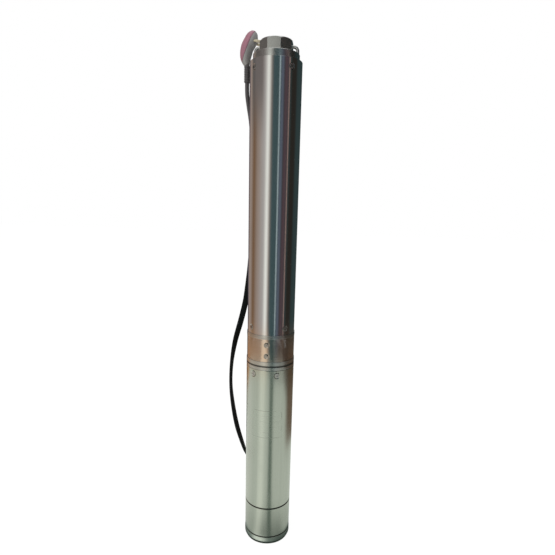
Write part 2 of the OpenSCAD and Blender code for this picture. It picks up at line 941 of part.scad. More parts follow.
module upper_bracket() {
    color([0.60, 0.60, 0.57])
        difference() {
            rotate_extrude()
                polygon([
                    [bush_r + seat, z_up0], [bush_r + up_wall, z_up0], [bush_r + up_wall, z_deck],
                    [motor_spigot_r - up_wall, z_deck], [motor_spigot_r - up_wall, z_up0],
                    [motor_spigot_r, z_up0], [motor_spigot_r, z_shell1], [motor_r, z_shell1],
                    [motor_r, z_face], [pilot_r, z_face], [pilot_r, z_face + pilot_h],
                    [seal_well_r, z_face + pilot_h], [seal_well_r, z_seat1], [seal_bore_r, z_seat1],
                    [seal_bore_r, z_seat0], [bush_r + seat, z_seat0]
                ]);
            ring_of(bracket_screw_count, bracket_screw_turn)
                radial(bracket_screw_r + seat, motor_r - motor_dish - bracket_screw_l - tip_room, motor_r + 2,
                    z_bracket_screw);
            ring_of(4, 45)
                translate([stud_pcd_r, 0, z_stud0 - seat])
                    cylinder(r = stud_r + seat, h = 40);
            gland_prism(bush_w + 2 * fit, bush_h + 2 * fit, 30, motor_r + 2);
            o_ring_groove(z_shell1 - 4.5);
        }
}

module mount_studs() {
    color([0.62, 0.62, 0.64])
        ring_of(4, 45)
            translate([stud_pcd_r, 0, z_stud0])
                cylinder(r = stud_r, h = z_foot1 + stud_over - z_stud0);
}

module stud_nuts() {
    color([0.55, 0.55, 0.57])
        ring_of(4, 45)
            translate([stud_pcd_r, 0, 0])
                difference() {
                    hex_prism(nut_af, z_foot1, z_foot1 + nut_h);
                    translate([0, 0, z_foot1 - 1])
                        cylinder(r = stud_r + seat, h = nut_h + 2);
                }
}

module seal_seat() {
    color([0.88, 0.87, 0.82])
        tube(seal_bore_r - seat, seal_r + 0.6, z_seat0, z_seat1);
}

module seal_head() {
    color([0.14, 0.14, 0.15])
        rotate_extrude()
            polygon([
                [seal_r + seat, z_seat1 + 0.2], [seal_r + 4.5, z_seat1 + 0.2],
                [seal_r + 4.5, z_seat1 + 3], [seal_r + 6.5, z_seat1 + 3],
                [seal_r + 6.5, z_face + 2], [seal_r + seat, z_face + 2]
            ]);
}

module sand_slinger() {
    color([0.10, 0.10, 0.10])
        rotate_extrude()
            polygon([
                [seal_r + seat, z_face + pilot_h + 0.8], [slinger_r, z_face + pilot_h + 0.8],
                [slinger_r, z_face + pilot_h + 2.2], [seal_r + 3, z_face + pilot_h + 4.5],
                [seal_r + seat, z_face + pilot_h + 4.5]
            ]);
}

module upper_bush() {
    color([0.25, 0.24, 0.23])
        tube(bush_r, journal_r + run, z_up0 + 1, z_seat0 - 2);
}

module shell_o_rings() {
    color([0.07, 0.07, 0.07])
        for (z = [z_shell1 - 4.5, z_shell0 + 14])
            translate([0, 0, z])
                rotate_extrude()
                    translate([motor_ri - seat - oring_d / 2, 0])
                        circle(d = oring_d);
}

module stator_core() {
    color([0.42, 0.42, 0.44])
        translate([0, 0, z_core0])
            linear_extrude(z_core1 - z_core0)
                difference() {
                    circle(stator_r);
                    circle(bore_r);
                    ring_of(slot_count)
                        polygon([
                            [bore_r - 1, -mouth_w / 2], [slot_r0 - 1, -mouth_w / 2],
                            [slot_r0, -slot_w0 / 2], [slot_r1, -slot_w1 / 2],
                            [slot_r1, slot_w1 / 2], [slot_r0, slot_w0 / 2],
                            [slot_r0 - 1, mouth_w / 2], [bore_r - 1, mouth_w / 2]
                        ]);
                }
}

module coil_end(z0, z1) {
    rotate_extrude()
        polygon([
            [coil_ri + 3, z0], [coil_r - 3, z0], [coil_r, z0 + sign(z1 - z0) * 6], [coil_r, z1],
            [coil_ri, z1], [coil_ri, z0 + sign(z1 - z0) * 6]
        ]);
}

module stator_winding() {
    color([0.72, 0.40, 0.20]) {
        coil_end(z_core0 - coil_h0, z_core0 - free);
        coil_end(z_core1 + coil_h1, z_core1 + free);
        translate([0, 0, z_core0 - 2])
            linear_extrude(z_core1 - z_core0 + 4)
                ring_of(slot_count)
                    polygon([
                        [coil_ri, -slot_w0 / 2 + slot_lining],
                        [slot_r1 - slot_lining, -slot_w1 / 2 + slot_lining],
                        [slot_r1 - slot_lining, slot_w1 / 2 - slot_lining],
                        [coil_ri, slot_w0 / 2 - slot_lining]
                    ]);
    }
}

module rotor_core() {
    color([0.46, 0.46, 0.48])
        difference() {
            tube(rotor_r, core_shaft_r + seat, z_core0, z_core1);
            ring_of(bar_count)
                translate([bar_pcd_r, 0, z_core0 - 1])
                    cylinder(r = bar_r + seat, h = z_core1 - z_core0 + 2);
        }
}

module rotor_cage() {
    color([0.78, 0.79, 0.80]) {
        tube(rotor_r - 0.5, bar_pcd_r - 4.5, z_core0 - cage_h, z_core0);
        tube(rotor_r - 0.5, bar_pcd_r - 4.5, z_core1, z_core1 + cage_h);
        ring_of(bar_count)
            translate([bar_pcd_r, 0, z_core0 - 1])
                cylinder(r = bar_r, h = z_core1 - z_core0 + 2);
    }
}

module motor_shaft() {
    color([0.68, 0.68, 0.70]) {
        rotate_extrude()
            polygon([
                [0, z_stub0], [stub_r, z_stub0], [stub_r, z_disc1], [journal_r, z_disc1],
                [journal_r, z_low1 + 4], [core_shaft_r, z_low1 + 4], [core_shaft_r, z_core1 + 20],
                [journal_r, z_core1 + 20], [journal_r, z_seat0 - 1], [seal_r, z_seat0 - 1],
                [seal_r, z_spline0], [0, z_spline0]
            ]);
        translate([0, 0, z_spline0 - 0.5])
            linear_extrude(z_spline1 - z_spline0 + 0.5)
                spline_2d(spline_root_r, spline_tip_r, 1.6);
    }
}

module cover_holes(r, z0, z1) {
    ring_of(6, 30)
        translate([cover_pcd / 2, 0, z0])
            cylinder(r = r, h = z1 - z0);
}

module lower_bracket() {
    color([0.58, 0.58, 0.56])
        difference() {
            rotate_extrude()
                polygon([
                    [bush_r + seat, z_web0], [thrust_r, z_web0], [thrust_r, z_low0],
                    [motor_spigot_r, z_low0], [motor_spigot_r, z_low1], [motor_spigot_r - 5, z_low1],
                    [motor_spigot_r - 5, z_web1], [bush_r + hub_wall, z_web1],
                    [bush_r + hub_wall, z_low1], [bush_r + seat, z_low1]
                ]);
            cover_holes(cover_screw_r + seat, z_low0 - 1, z_low0 + 10);
            o_ring_groove(z_shell0 + 14);
        }
}

module lower_bush() {
    color([0.25, 0.24, 0.23])
        tube(bush_r, journal_r + run, z_web0, z_low1);
}

module thrust_disc() {
    color([0.30, 0.30, 0.31])
        tube(disc_r, stub_r + seat, z_disc0, z_disc1);
}

module thrust_nut() {
    color([0.60, 0.60, 0.62])
        difference() {
            hex_prism(19, z_disc0 - 6, z_disc0);
            translate([0, 0, z_disc0 - 7])
                cylinder(r = stub_r + seat, h = 8);
        }
}

module thrust_pads() {
    sweep = 360 / pad_count - pad_gap_deg;
    color([0.74, 0.74, 0.76])
        ring_of(pad_count)
            translate([0, 0, z_pad0])
                rotate_extrude(angle = sweep)
                    polygon([
                        [pad_ri, 0], [disc_r - 1, 0], [disc_r - 1, z_disc0 - z_pad0 - free],
                        [pad_ri, z_disc0 - z_pad0 - free]
                    ]);
}

module thrust_plate() {
    color([0.62, 0.62, 0.63])
        tube(thrust_r - fit, pad_ri - 3, z_plate0, z_pad0);
}

module diaphragm_ring() {
    color([0.55, 0.55, 0.54])
        difference() {
            rotate_extrude()
                polygon([
                    [clamp_ri, z_low0 - clamp_t], [motor_spigot_r - 0.4, z_low0 - clamp_t],
                    [motor_spigot_r - 0.4, z_low0], [thrust_r - fit, z_low0],
                    [thrust_r - fit, z_plate0], [clamp_ri, z_plate0]
                ]);
            cover_holes(cover_screw_r + fit, z_low0 - clamp_t - 1, z_low0 + 1);
        }
}

module diaphragm() {
    z1 = z_low0 - clamp_t;
    z0 = z1 - membrane_t;
    color([0.11, 0.11, 0.11])
        difference() {
            rotate_extrude()
                polygon([
                    [0, z0 - 12], [cup_r - 3, z0 - 12], [cup_r, z0 - 9], [cup_r, z0],
                    [motor_spigot_r - 0.4, z0], [motor_spigot_r - 0.4, z1], [cup_r - 2, z1],
                    [cup_r - 2, z0 - 8], [cup_r - 4, z0 - 10], [0, z0 - 10]
                ]);
            cover_holes(cover_screw_r + fit, z0 - 1, z1 + 1);
        }
}

module diaphragm_cover() {
    z1 = z_low0 - clamp_t - membrane_t;
    z0 = z1 - cover_t;
    color([0.66, 0.66, 0.65])
        difference() {
            rotate_extrude()
                polygon([
                    [0, z1 - cup_h - 2], [cup_r + 3, z1 - cup_h - 2], [cup_r + 3, z0],
                    [motor_spigot_r - 0.4, z0], [motor_spigot_r - 0.4, z1], [cup_r + 1, z1],
                    [cup_r + 1, z1 - cup_h], [0, z1 - cup_h]
                ]);
            cover_holes(cover_screw_r + fit, z0 - 1, z1 + 1);
            ring_of(6)
                translate([14, 0, z1 - cup_h - 3])
                    cylinder(d = drain_d, h = 4);
        }
}

module cover_screws() {
    z0 = z_low0 - clamp_t - membrane_t - cover_t;
    color([0.60, 0.60, 0.61]) {
        cover_holes(cover_screw_r, z0 - 0.5, z_low0 + 9);
        cover_holes(3.4, z0 - 3, z0);
    }
}

// Cable gland

module gland_screw_holes(r, y0, y1) {
    for (s = [-1, 1])
        translate([s * gland_screw_x, y1, z_gland])
            rotate([90, 0, 0])
                cylinder(r = r, h = y1 - y0);
}

module gland_boss() {
    color([0.60, 0.60, 0.57])
        difference() {
            gland_prism(boss_w, boss_h, motor_r - 4, boss_y);
            translate([0, 0, z_gland - boss_h])
                cylinder(r = motor_r + seat, h = 2 * boss_h);
            gland_prism(bush_w + 2 * fit, bush_h + 2 * fit, motor_r - 6, boss_y + 1);
            gland_screw_holes(gland_screw_r + seat, boss_y - 8, boss_y + 1);
        }
}

module gland_bush() {
    color([0.06, 0.06, 0.06])
        difference() {
            union() {
                gland_prism(bush_w, bush_h, motor_r - 7, boss_y);
                gland_prism(sleeve_w, sleeve_h, boss_y - 1, boss_y + gland_plate_t + sleeve_out);
            }
            gland_prism(cable_w + 2 * fit, cable_t + 2 * fit, motor_r - 8, boss_y + 20);
        }
}

module gland_plate() {
    color([0.72, 0.72, 0.70])
        difference() {
            gland_prism(boss_w, boss_h - 8, boss_y, boss_y + gland_plate_t);
            gland_prism(sleeve_w + 2 * fit, sleeve_h + 2 * fit, boss_y - 1, boss_y + 5);
            gland_screw_holes(gland_screw_r + fit, boss_y - 1, boss_y + 5);
        }
}

module gland_screws() {
    y = boss_y + gland_plate_t;
    color([0.45, 0.45, 0.46]) {
        gland_screw_holes(gland_screw_r, boss_y - 7.5, y + 0.5);
        gland_screw_holes(3.2, y, y + 3.2);
    }
}

// Flat cable

function spline(a, b, c, d, t) =
    0.5 * (2 * b + (c - a) * t + (2 * a - 5 * b + 4 * c - d) * t * t
        + (3 * b - a - 3 * c + d) * t * t * t);

function route_at(i) =
    let (last = len(route) - 1)
    let (p = route[max(0, min(last, i))])
    [p[0], p[1], z_gland + p[2] * route_rise / route[last][2], p[3]];

function unit(v) = v / norm(v);

function flat(p) = [p[0], p[1], p[2]];

// The section's outline, along the width and the thickness
function cable_section(k) =
    let (right = k < 6)
    let (a = (right ? -90 : 90) + 36 * (k % 6))
    [(right ? 1 : -1) * (cable_w - cable_t) / 2 + cable_t / 2 * cos(a), cable_t / 2 * sin(a)];

module supply_cable() {
    path = concat([
        for (i = [0 : len(route) - 2])
            for (k = [0 : route_steps - 1])
                spline(route_at(i - 1), route_at(i), route_at(i + 1), route_at(i + 2), k / route_steps)
    ], [route_at(len(route) - 1)]);
    last = len(path) - 1;
    points = [
        for (i = [0 : last])
            let (t = unit(flat(path[min(last, i + 1)]) - flat(path[max(0, i - 1)])))
            let (b = [cos(path[i][3]), sin(path[i][3]), 0])
            let (w = unit(b - (b * t) * t))
            let (n = cross(t, w))
            for (k = [0 : 11])
                let (s = cable_section(k))
                flat(path[i]) + s[0] * w + s[1] * n
    ];
    color([0.05, 0.05, 0.05])
        swept(points, last + 1, 12);
}

// Plug

// The plug's own frame: the middle of its face at the origin, its pins along +X
module plug_frame() {
    translate([plug_face_x, plug_y, plug_z])
        rotate([0, plug_tilt, 0])
            children();
}

module plug_axis(x) {
    plug_frame()
        translate([x, 0, 0])
            rotate([0, 90, 0])
                children();
}

// The cable's entry, which the shell and the base share, flattened like the cable
module plug_boot() {
    intersection() {
        translate([boot_x, plug_y, plug_z - plug_drop])
            union() {
                cylinder(r1 = boot_tip_r, r2 = boot_r, h = boot_taper_h);
                translate([0, 0, boot_taper_h])
                    cylinder(r = boot_r, h = plug_drop - boot_taper_h);
            }
        translate([boot_x - boot_w / 2, plug_y - plug_r, plug_z - plug_drop])
            cube([boot_w, plug_d, plug_drop]);
    }
}

// Everything on the base's side of a plane across the plug
module plug_half(x) {
    plug_frame()
        translate([x, -2 * plug_r, -4 * plug_r])
            cube([4 * plug_r, 4 * plug_r, 6 * plug_r]);
}

module plug_shell() {
    color([0.66, 0.48, 0.54])
        difference() {
            union() {
                plug_axis(-plug_base_t - plug_shell_t)
                    rotate_extrude()
                        difference() {
                            square([plug_r, plug_shell_t]);
                            corner_cut(plug_r, 0, plug_round, 1);
                        }
                plug_boot();
            }
            plug_half(-plug_base_t - seat);
        }
}

module plug_base() {
    color([0.56, 0.55, 0.545])
        difference() {
            union() {
                plug_axis(-plug_base_t)
                    rotate_extrude()
                        difference() {
                            square([plug_r - 0.3, plug_base_t]);
                            corner_cut(plug_r - 0.3, plug_base_t, 3, -1);
                        }
                intersection() {
                    plug_boot();
                    plug_half(-plug_base_t);
                }
            }
            for (s = [-1, 1]) {
                translate([0, s * pin_spacing / 2, 0])
                    plug_axis(3 - plug_base_t)
                        cylinder(r = pin_d / 2 + seat, h = plug_base_t);
                plug_frame()
                    translate([3 - plug_base_t, -3, s * (plug_r - 1.4) - 1.4])
                        cube([plug_base_t, 6, 2.8]);
            }
        }
}

module plug_pins() {
    color([0.78, 0.72, 0.55])
        for (s = [-1, 1])
            translate([0, s * pin_spacing / 2, 0]) {
                plug_axis(3 - plug_base_t)
                    cylinder(r = pin_d / 2, h = plug_base_t - 3 + pin_l - pin_tip_l);
                plug_axis(pin_l - pin_tip_l)
                    cylinder(r1 = pin_d / 2, r2 = pin_d / 2 - 1, h = pin_tip_l);
            }
}

module plug_clips() {
    color([0.80, 0.78, 0.70])
        for (s = [-1, 1])
            plug_frame()
                translate([3 - plug_base_t, -2.2, s * (plug_r - 1.9) - 0.6])
                    cube([plug_base_t - 3, 4.4, 1.2]);
}

module plug_sleeve() {
    color([0.06, 0.06, 0.06])
        translate([boot_x, plug_y, plug_z - plug_drop])
            rotate(90)
                difference() {
                    union() {
                        translate([0, 0, -rib_count * rib_pitch])
                            linear_extrude(rib_count * rib_pitch)
                                stadium(cable_w + 2, cable_t + 2);
                        for (i = [1 : rib_count])
                            translate([0, 0, -i * rib_pitch])
                                linear_extrude(rib_pitch / 2)
                                    stadium(cable_w + 3.4, cable_t + 3.4);
                    }
                    translate([0, 0, -rib_count * rib_pitch - 1])
                        linear_extrude(rib_count * rib_pitch + 2)
                            stadium(cable_w + 2 * fit, cable_t + 2 * fit);
                }
}

discharge_head();
rope_eyes();
pump_casing();
head_screws();
intake_screws();
intake_housing();
intake_strainer();
strainer_screws();
valve_seat();
valve_poppet();
poppet_seal();
valve_spring();
valve_guide();
top_bracket();
top_bush();
impellers();
diffusers();
stage_plates();
pump_shaft();
journal_sleeve();
shaft_nut();
shaft_coupling();
coupling_screws();
motor_shell();
bracket_screws();
upper_bracket();
mount_studs();
stud_nuts();
seal_seat();
seal_head();
sand_slinger();
upper_bush();
shell_o_rings();
stator_core();
stator_winding();
rotor_core();
rotor_cage();
motor_shaft();
lower_bracket();
lower_bush();
thrust_disc();
thrust_nut();
thrust_pads();
thrust_plate();
diaphragm_ring();
diaphragm();
diaphragm_cover();
cover_screws();
bottom_cap();
end_plate();
gland_boss();
gland_bush();
gland_plate();
gland_screws();
supply_cable();
plug_shell();
plug_base();
plug_pins();
plug_clips();
plug_sleeve();
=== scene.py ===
"""Dresses the borehole submersible pump: camera, lead, strainer sheet, finishes and studio."""
import json
import math

import bmesh
import bpy
from mathutils import Matrix, Vector


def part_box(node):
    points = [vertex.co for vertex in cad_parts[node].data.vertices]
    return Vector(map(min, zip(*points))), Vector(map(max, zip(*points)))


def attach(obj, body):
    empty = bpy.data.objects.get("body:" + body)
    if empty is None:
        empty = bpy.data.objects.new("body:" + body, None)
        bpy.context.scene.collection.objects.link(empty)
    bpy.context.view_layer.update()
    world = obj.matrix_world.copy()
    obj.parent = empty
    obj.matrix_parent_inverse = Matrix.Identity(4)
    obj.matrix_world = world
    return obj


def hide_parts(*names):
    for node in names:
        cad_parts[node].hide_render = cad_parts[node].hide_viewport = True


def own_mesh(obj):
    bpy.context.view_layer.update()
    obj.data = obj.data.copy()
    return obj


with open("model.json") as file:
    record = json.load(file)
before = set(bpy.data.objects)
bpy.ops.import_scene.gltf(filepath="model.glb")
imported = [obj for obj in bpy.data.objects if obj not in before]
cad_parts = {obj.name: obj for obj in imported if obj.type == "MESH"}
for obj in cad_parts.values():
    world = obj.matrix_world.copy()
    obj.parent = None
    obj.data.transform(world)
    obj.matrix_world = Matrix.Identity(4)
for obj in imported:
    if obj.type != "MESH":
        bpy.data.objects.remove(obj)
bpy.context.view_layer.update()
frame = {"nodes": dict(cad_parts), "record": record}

MM = 0.001
PUMP = "pump_body"


# Camera

CAMERA_BEARING = math.radians(9.4)   # how far right of the pump's front the camera stands
CAMERA_REACH = 0.8939                # from the pump's axis
CAMERA_HEIGHT = 0.7012
CAMERA_PITCH = math.radians(13.430)
CAMERA_YAW = math.radians(0.815)
CAMERA_ROLL = math.radians(1.352)
FRAME_PX = 555
FOCAL_PX = 460.75
CENTRE_DROP_PX = 40                  # the optical axis lies this far below the frame's middle
SENSOR = 36


def add_camera():
    data = bpy.data.cameras.new("camera")
    data.sensor_width = SENSOR
    data.lens = FOCAL_PX / FRAME_PX * SENSOR
    data.shift_y = CENTRE_DROP_PX / FRAME_PX
    data.clip_start = 0.01
    camera = bpy.data.objects.new("camera", data)
    bpy.context.collection.objects.link(camera)
    turn = Matrix.Rotation(CAMERA_BEARING, 3, "Z")
    ahead = turn @ Vector((
        math.sin(CAMERA_YAW) * math.cos(CAMERA_PITCH),
        math.cos(CAMERA_YAW) * math.cos(CAMERA_PITCH),
        -math.sin(CAMERA_PITCH),
    ))
    level = turn @ Vector((math.cos(CAMERA_YAW), -math.sin(CAMERA_YAW), 0))
    upward = level.cross(ahead)
    right = level * math.cos(CAMERA_ROLL) + upward * math.sin(CAMERA_ROLL)
    above = upward * math.cos(CAMERA_ROLL) - level * math.sin(CAMERA_ROLL)
    pose = Matrix((right, above, -ahead)).transposed().to_4x4()
    pose.translation = turn @ Vector((0, -CAMERA_REACH, 0)) + Vector((0, 0, CAMERA_HEIGHT))
    camera.matrix_world = pose
    bpy.context.scene.camera = camera


add_camera()


# Finishes

class Value:
    """A node's output that takes Python's operators."""

    def __init__(self, finish, socket):
        self.finish = finish
        self.socket = socket

    def math(self, operation, *terms):
        inputs = dict(enumerate(terms))
        return self.finish.node("ShaderNodeMath", {"operation": operation}, inputs)

    def __add__(self, other):
        return self.math("ADD", self, other)

    def __sub__(self, other):
        return self.math("SUBTRACT", self, other)

    def __rsub__(self, other):
        return self.math("SUBTRACT", other, self)

    def __mul__(self, other):
        return self.math("MULTIPLY", self, other)

    def __truediv__(self, other):
        return self.math("DIVIDE", self, other)

    def __pow__(self, other):
        return self.math("POWER", self, other)

    __radd__ = __add__
    __rmul__ = __mul__

    def __abs__(self):
        return self.math("ABSOLUTE", self)

    def larger(self, other):
        return self.math("MAXIMUM", self, other)

    def smaller(self, other):
        return self.math("MINIMUM", self, other)

    def wrapped(self, low, high):
        """The value brought into the span from low to high by whole turns."""
        return self.math("WRAP", self, high, low)

    def ramp(self, low, high):
        """0 below low, 1 above high and smooth between."""
        return self.finish.node(
            "ShaderNodeMapRange",
            {"interpolation_type": "SMOOTHSTEP"},
            {"Value": self, "From Min": low, "From Max": high},
        )


RECESS_SHADE_REACH = 2.5 * MM                # painted shade falls where a surface has another this near in front
RECESS_SHADE_DEEP = 0.30
RECESS_SHADE_NONE = 0.85


class Finish:
    """One procedural material, made node by node."""

    def __init__(self, name):
        self.material = bpy.data.materials.new(name)
        self.material.use_nodes = True
        self.nodes = self.material.node_tree.nodes
        self.links = self.material.node_tree.links
        self.nodes.clear()
        self.place = self.node("ShaderNodeTexCoord", {}, {}, "Object")

    def node(self, kind, settings, inputs, output=0):
        made = self.nodes.new(kind)
        for name, value in settings.items():
            setattr(made, name, value)
        for name, value in inputs.items():
            self.feed(made.inputs[name], value)
        return Value(self, made.outputs[output])

    def feed(self, socket, value):
        if isinstance(value, Value):
            self.links.new(value.socket, socket)
        else:
            socket.default_value = value

    def along(self, axis):
        return self.node("ShaderNodeSeparateXYZ", {}, {"Vector": self.place}, axis)

    def bearing(self, ahead):
        """Degrees round the pump's axis, to the right of a bearing from the pump's front."""
        turn = self.along("X").math("ARCTAN2", self.along("X"), self.along("Y") * -1)
        return (turn * (180 / math.pi) - math.degrees(ahead)).wrapped(-180, 180)

    def noise(self, stretch, detail=2.0, distortion=0.0):
        """Noise with so many waves a metre along X, Y and Z."""
        spot = self.node("ShaderNodeMapping", {}, {"Vector": self.place, "Scale": stretch})
        return self.node(
            "ShaderNodeTexNoise",
            {},
            {"Vector": spot, "Scale": 1.0, "Detail": detail, "Distortion": distortion},
            "Fac",
        )

    def mix(self, share, first, second):
        return self.node("ShaderNodeMix", {"data_type": "RGBA"}, {0: share, 6: first, 7: second}, 2)

    def relief(self, height, depth, edge=0.0):
        """The normal of a surface this many metres deep in relief, with its edges rounded."""
        inputs = {"Strength": 1.0, "Distance": depth, "Height": height}
        if edge:
            inputs["Normal"] = self.node("ShaderNodeBevel", {"samples": 6}, {"Radius": edge})
        return self.node("ShaderNodeBump", {}, inputs)

    def painted_recess_shade(self):
        """1 deep in a corner or socket of the piece, where shade is painted in, and 0 in the open."""
        clear = self.node(
            "ShaderNodeAmbientOcclusion", {"samples": 6, "only_local": True},
            {"Distance": RECESS_SHADE_REACH}, "AO")
        return 1 - clear.ramp(RECESS_SHADE_DEEP, RECESS_SHADE_NONE)

    def surface(self, **inputs):
        shader = self.nodes.new("ShaderNodeBsdfPrincipled")
        for name, value in inputs.items():
            self.feed(shader.inputs[name.replace("_", " ")], value)
        self.show(shader.outputs[0])
        return self.material

    def show(self, socket):
        output = self.nodes.new("ShaderNodeOutputMaterial")
        self.links.new(socket, output.inputs["Surface"])


def rgb(red, green, blue):
    return (red, green, blue, 1.0)


def shade(colour, share):
    return rgb(*(part * share for part in colour[:3]))


SEAM_SOFT = 0.7 * MM


def seam_painted_shade(f, tone, tint, seams):
    """Paints the shade of their grooves into a tone near the seams, each given by its level and half its dark
    width.
    """
    for level, half in seams:
        near = 1 - abs(f.along("Z") - level).ramp(half, half + SEAM_SOFT)
        tone = f.mix(near * 0.85, tone, shade(tint, 0.12))
    return tone


def drawn_steel(name, tint, roughness, dullness, grain_depth, marks=None, seams=()):
    """Stainless tube: fine grain along its length, soft clouds of handling marks."""
    f = Finish(name)
    grain = f.noise((1500, 1500, 14), 3.0)
    drawn = f.noise((260, 260, 1.5), 2.0)
    cloud = f.noise((22, 22, 9), 4.0, 0.4)
    smudge = cloud.ramp(0.50, 0.75)
    tone = f.mix(smudge * 0.5, tint, shade(tint, 0.88))
    tone = f.mix(drawn.ramp(0.35, 0.7) * 0.35, tone, shade(tint, 0.90))
    rough = roughness + grain * 0.05 + smudge * dullness
    if marks:
        etched = marks(f)
        tone = f.mix(etched * 0.5, tone, shade(tint, 0.62))
        rough = rough + etched * 0.16
    # painted shade in the seams' grooves
    tone = seam_painted_shade(f, tone, tint, seams)
    # painted shade in corners and sockets
    tone = f.mix(f.painted_recess_shade() * 0.8, tone, shade(tint, 0.12))
    relief = f.relief(grain * 0.6 + drawn * 0.4, grain_depth, 0.0004)
    return f.surface(Base_Color=tone, Metallic=1.0, Roughness=rough, Normal=relief)


# A bare rating frame, etched in the motor shell without any writing
ETCHED_BEARING = math.radians(4)
ETCHED_LEVEL = 278 * MM
ETCHED_WIDTH = 62 * MM
ETCHED_HEIGHT = 58 * MM
ETCHED_LINE = 0.35 * MM
ETCHED_ROW = 11.6 * MM
MOTOR_R = 48 * MM
# Seams round the motor, with painted shade in their grooves: level and half the width that is painted dark
CAP_SEAMS = [(17.7 * MM, 1.2 * MM), (85.5 * MM, 1.5 * MM)]
FOOT_SEAMS = [(399.8 * MM, 1.3 * MM)]


def etched_frame(f):
    across = f.bearing(ETCHED_BEARING) * (math.pi / 180 * MOTOR_R)
    up = f.along("Z") - ETCHED_LEVEL
    beyond = (abs(across) - ETCHED_WIDTH / 2).larger(abs(up) - ETCHED_HEIGHT / 2)
    border = 1 - abs(beyond).ramp(ETCHED_LINE, 2 * ETCHED_LINE)
    rule = 1 - abs((up + ETCHED_HEIGHT / 2).wrapped(-ETCHED_ROW / 2, ETCHED_ROW / 2)).ramp(
        ETCHED_LINE / 2, 1.5 * ETCHED_LINE)
    inside = 1 - beyond.ramp(-4 * MM, -3.5 * MM)
    # the etched lines are worn away in patches
    uneven = f.noise((90, 90, 90), 3.0).ramp(0.40, 0.60)
    return border.larger(rule * inside * 0.6) * uneven


def cast_steel(name, tint, roughness, seams=()):
    """Blasted casting: fine dull skin with a few small pits, darker in its stains."""
    f = Finish(name)
    skin = f.noise((2600, 2600, 2600), 3.0)
    pits = f.noise((700, 700, 700), 2.0).ramp(0.68, 0.76)
    stain = f.noise((40, 40, 40), 4.0, 0.6).ramp(0.45, 0.75)
    tone = f.mix(stain * 0.6, tint, shade(tint, 0.76))
    tone = f.mix(pits * 0.5, tone, shade(tint, 0.6))
    # painted shade in the seams' grooves
    tone = seam_painted_shade(f, tone, tint, seams)
    rough = roughness + skin * 0.10 + stain * 0.06
    relief = f.relief(skin * 0.4 - pits * 0.6, 0.00006, 0.0008)
    return f.surface(Base_Color=tone, Metallic=1.0, Roughness=rough, Normal=relief)


def turned_metal(name, tint, roughness, edge):
    """Machined metal: fine turning marks round the axis and a few dull patches."""
    f = Finish(name)
    marks = f.noise((60, 60, 2600), 2.0)
    patch = f.noise((150, 150, 150), 3.0).ramp(0.45, 0.75)
    tone = f.mix(patch * 0.5, tint, shade(tint, 0.75))
    # painted shade in corners and sockets
    tone = f.mix(f.painted_recess_shade() * 0.9, tone, shade(tint, 0.10))
    rough = roughness + marks * 0.10 + patch * 0.10
    relief = f.relief(marks, 0.00003, edge)
    return f.surface(Base_Color=tone, Metallic=1.0, Roughness=rough, Normal=relief)


# Towards its plug the lead is made paler: between these heights, and to this tone
PALER_LOW = 0.77
PALER_HIGH = 0.87
PALER_TINT = rgb(0.105, 0.099, 0.102)


def moulding(
        name, tint, roughness, grain_depth, coat=0.0, dusty=0.35, shine=0.5, paler_at_top=False):
    """Moulded plastic or rubber: fine eggshell skin, faint dust and handling shine."""
    f = Finish(name)
    skin = f.noise((1800, 1800, 1800), 3.0)
    dust = f.noise((60, 60, 60), 5.0, 0.5).ramp(0.50, 0.80)
    tone = f.mix(dust * dusty, tint, f.mix(0.12, tint, rgb(0.5, 0.49, 0.47)))
    # the lead turns paler towards its plug end
    if paler_at_top:
        uneven = f.along("Z") + (f.noise((120, 120, 120), 3.0) - 0.5) * 0.05
        tone = f.mix(uneven.ramp(PALER_LOW, PALER_HIGH), tone, PALER_TINT)
    rough = roughness + skin * 0.10 + dust * 0.12
    relief = f.relief(skin, grain_depth, 0.0004)
    return f.surface(
        Base_Color=tone, Roughness=rough, Normal=relief, Coat_Weight=coat, Coat_Roughness=0.25,
        Specular_IOR_Level=shine,
    )


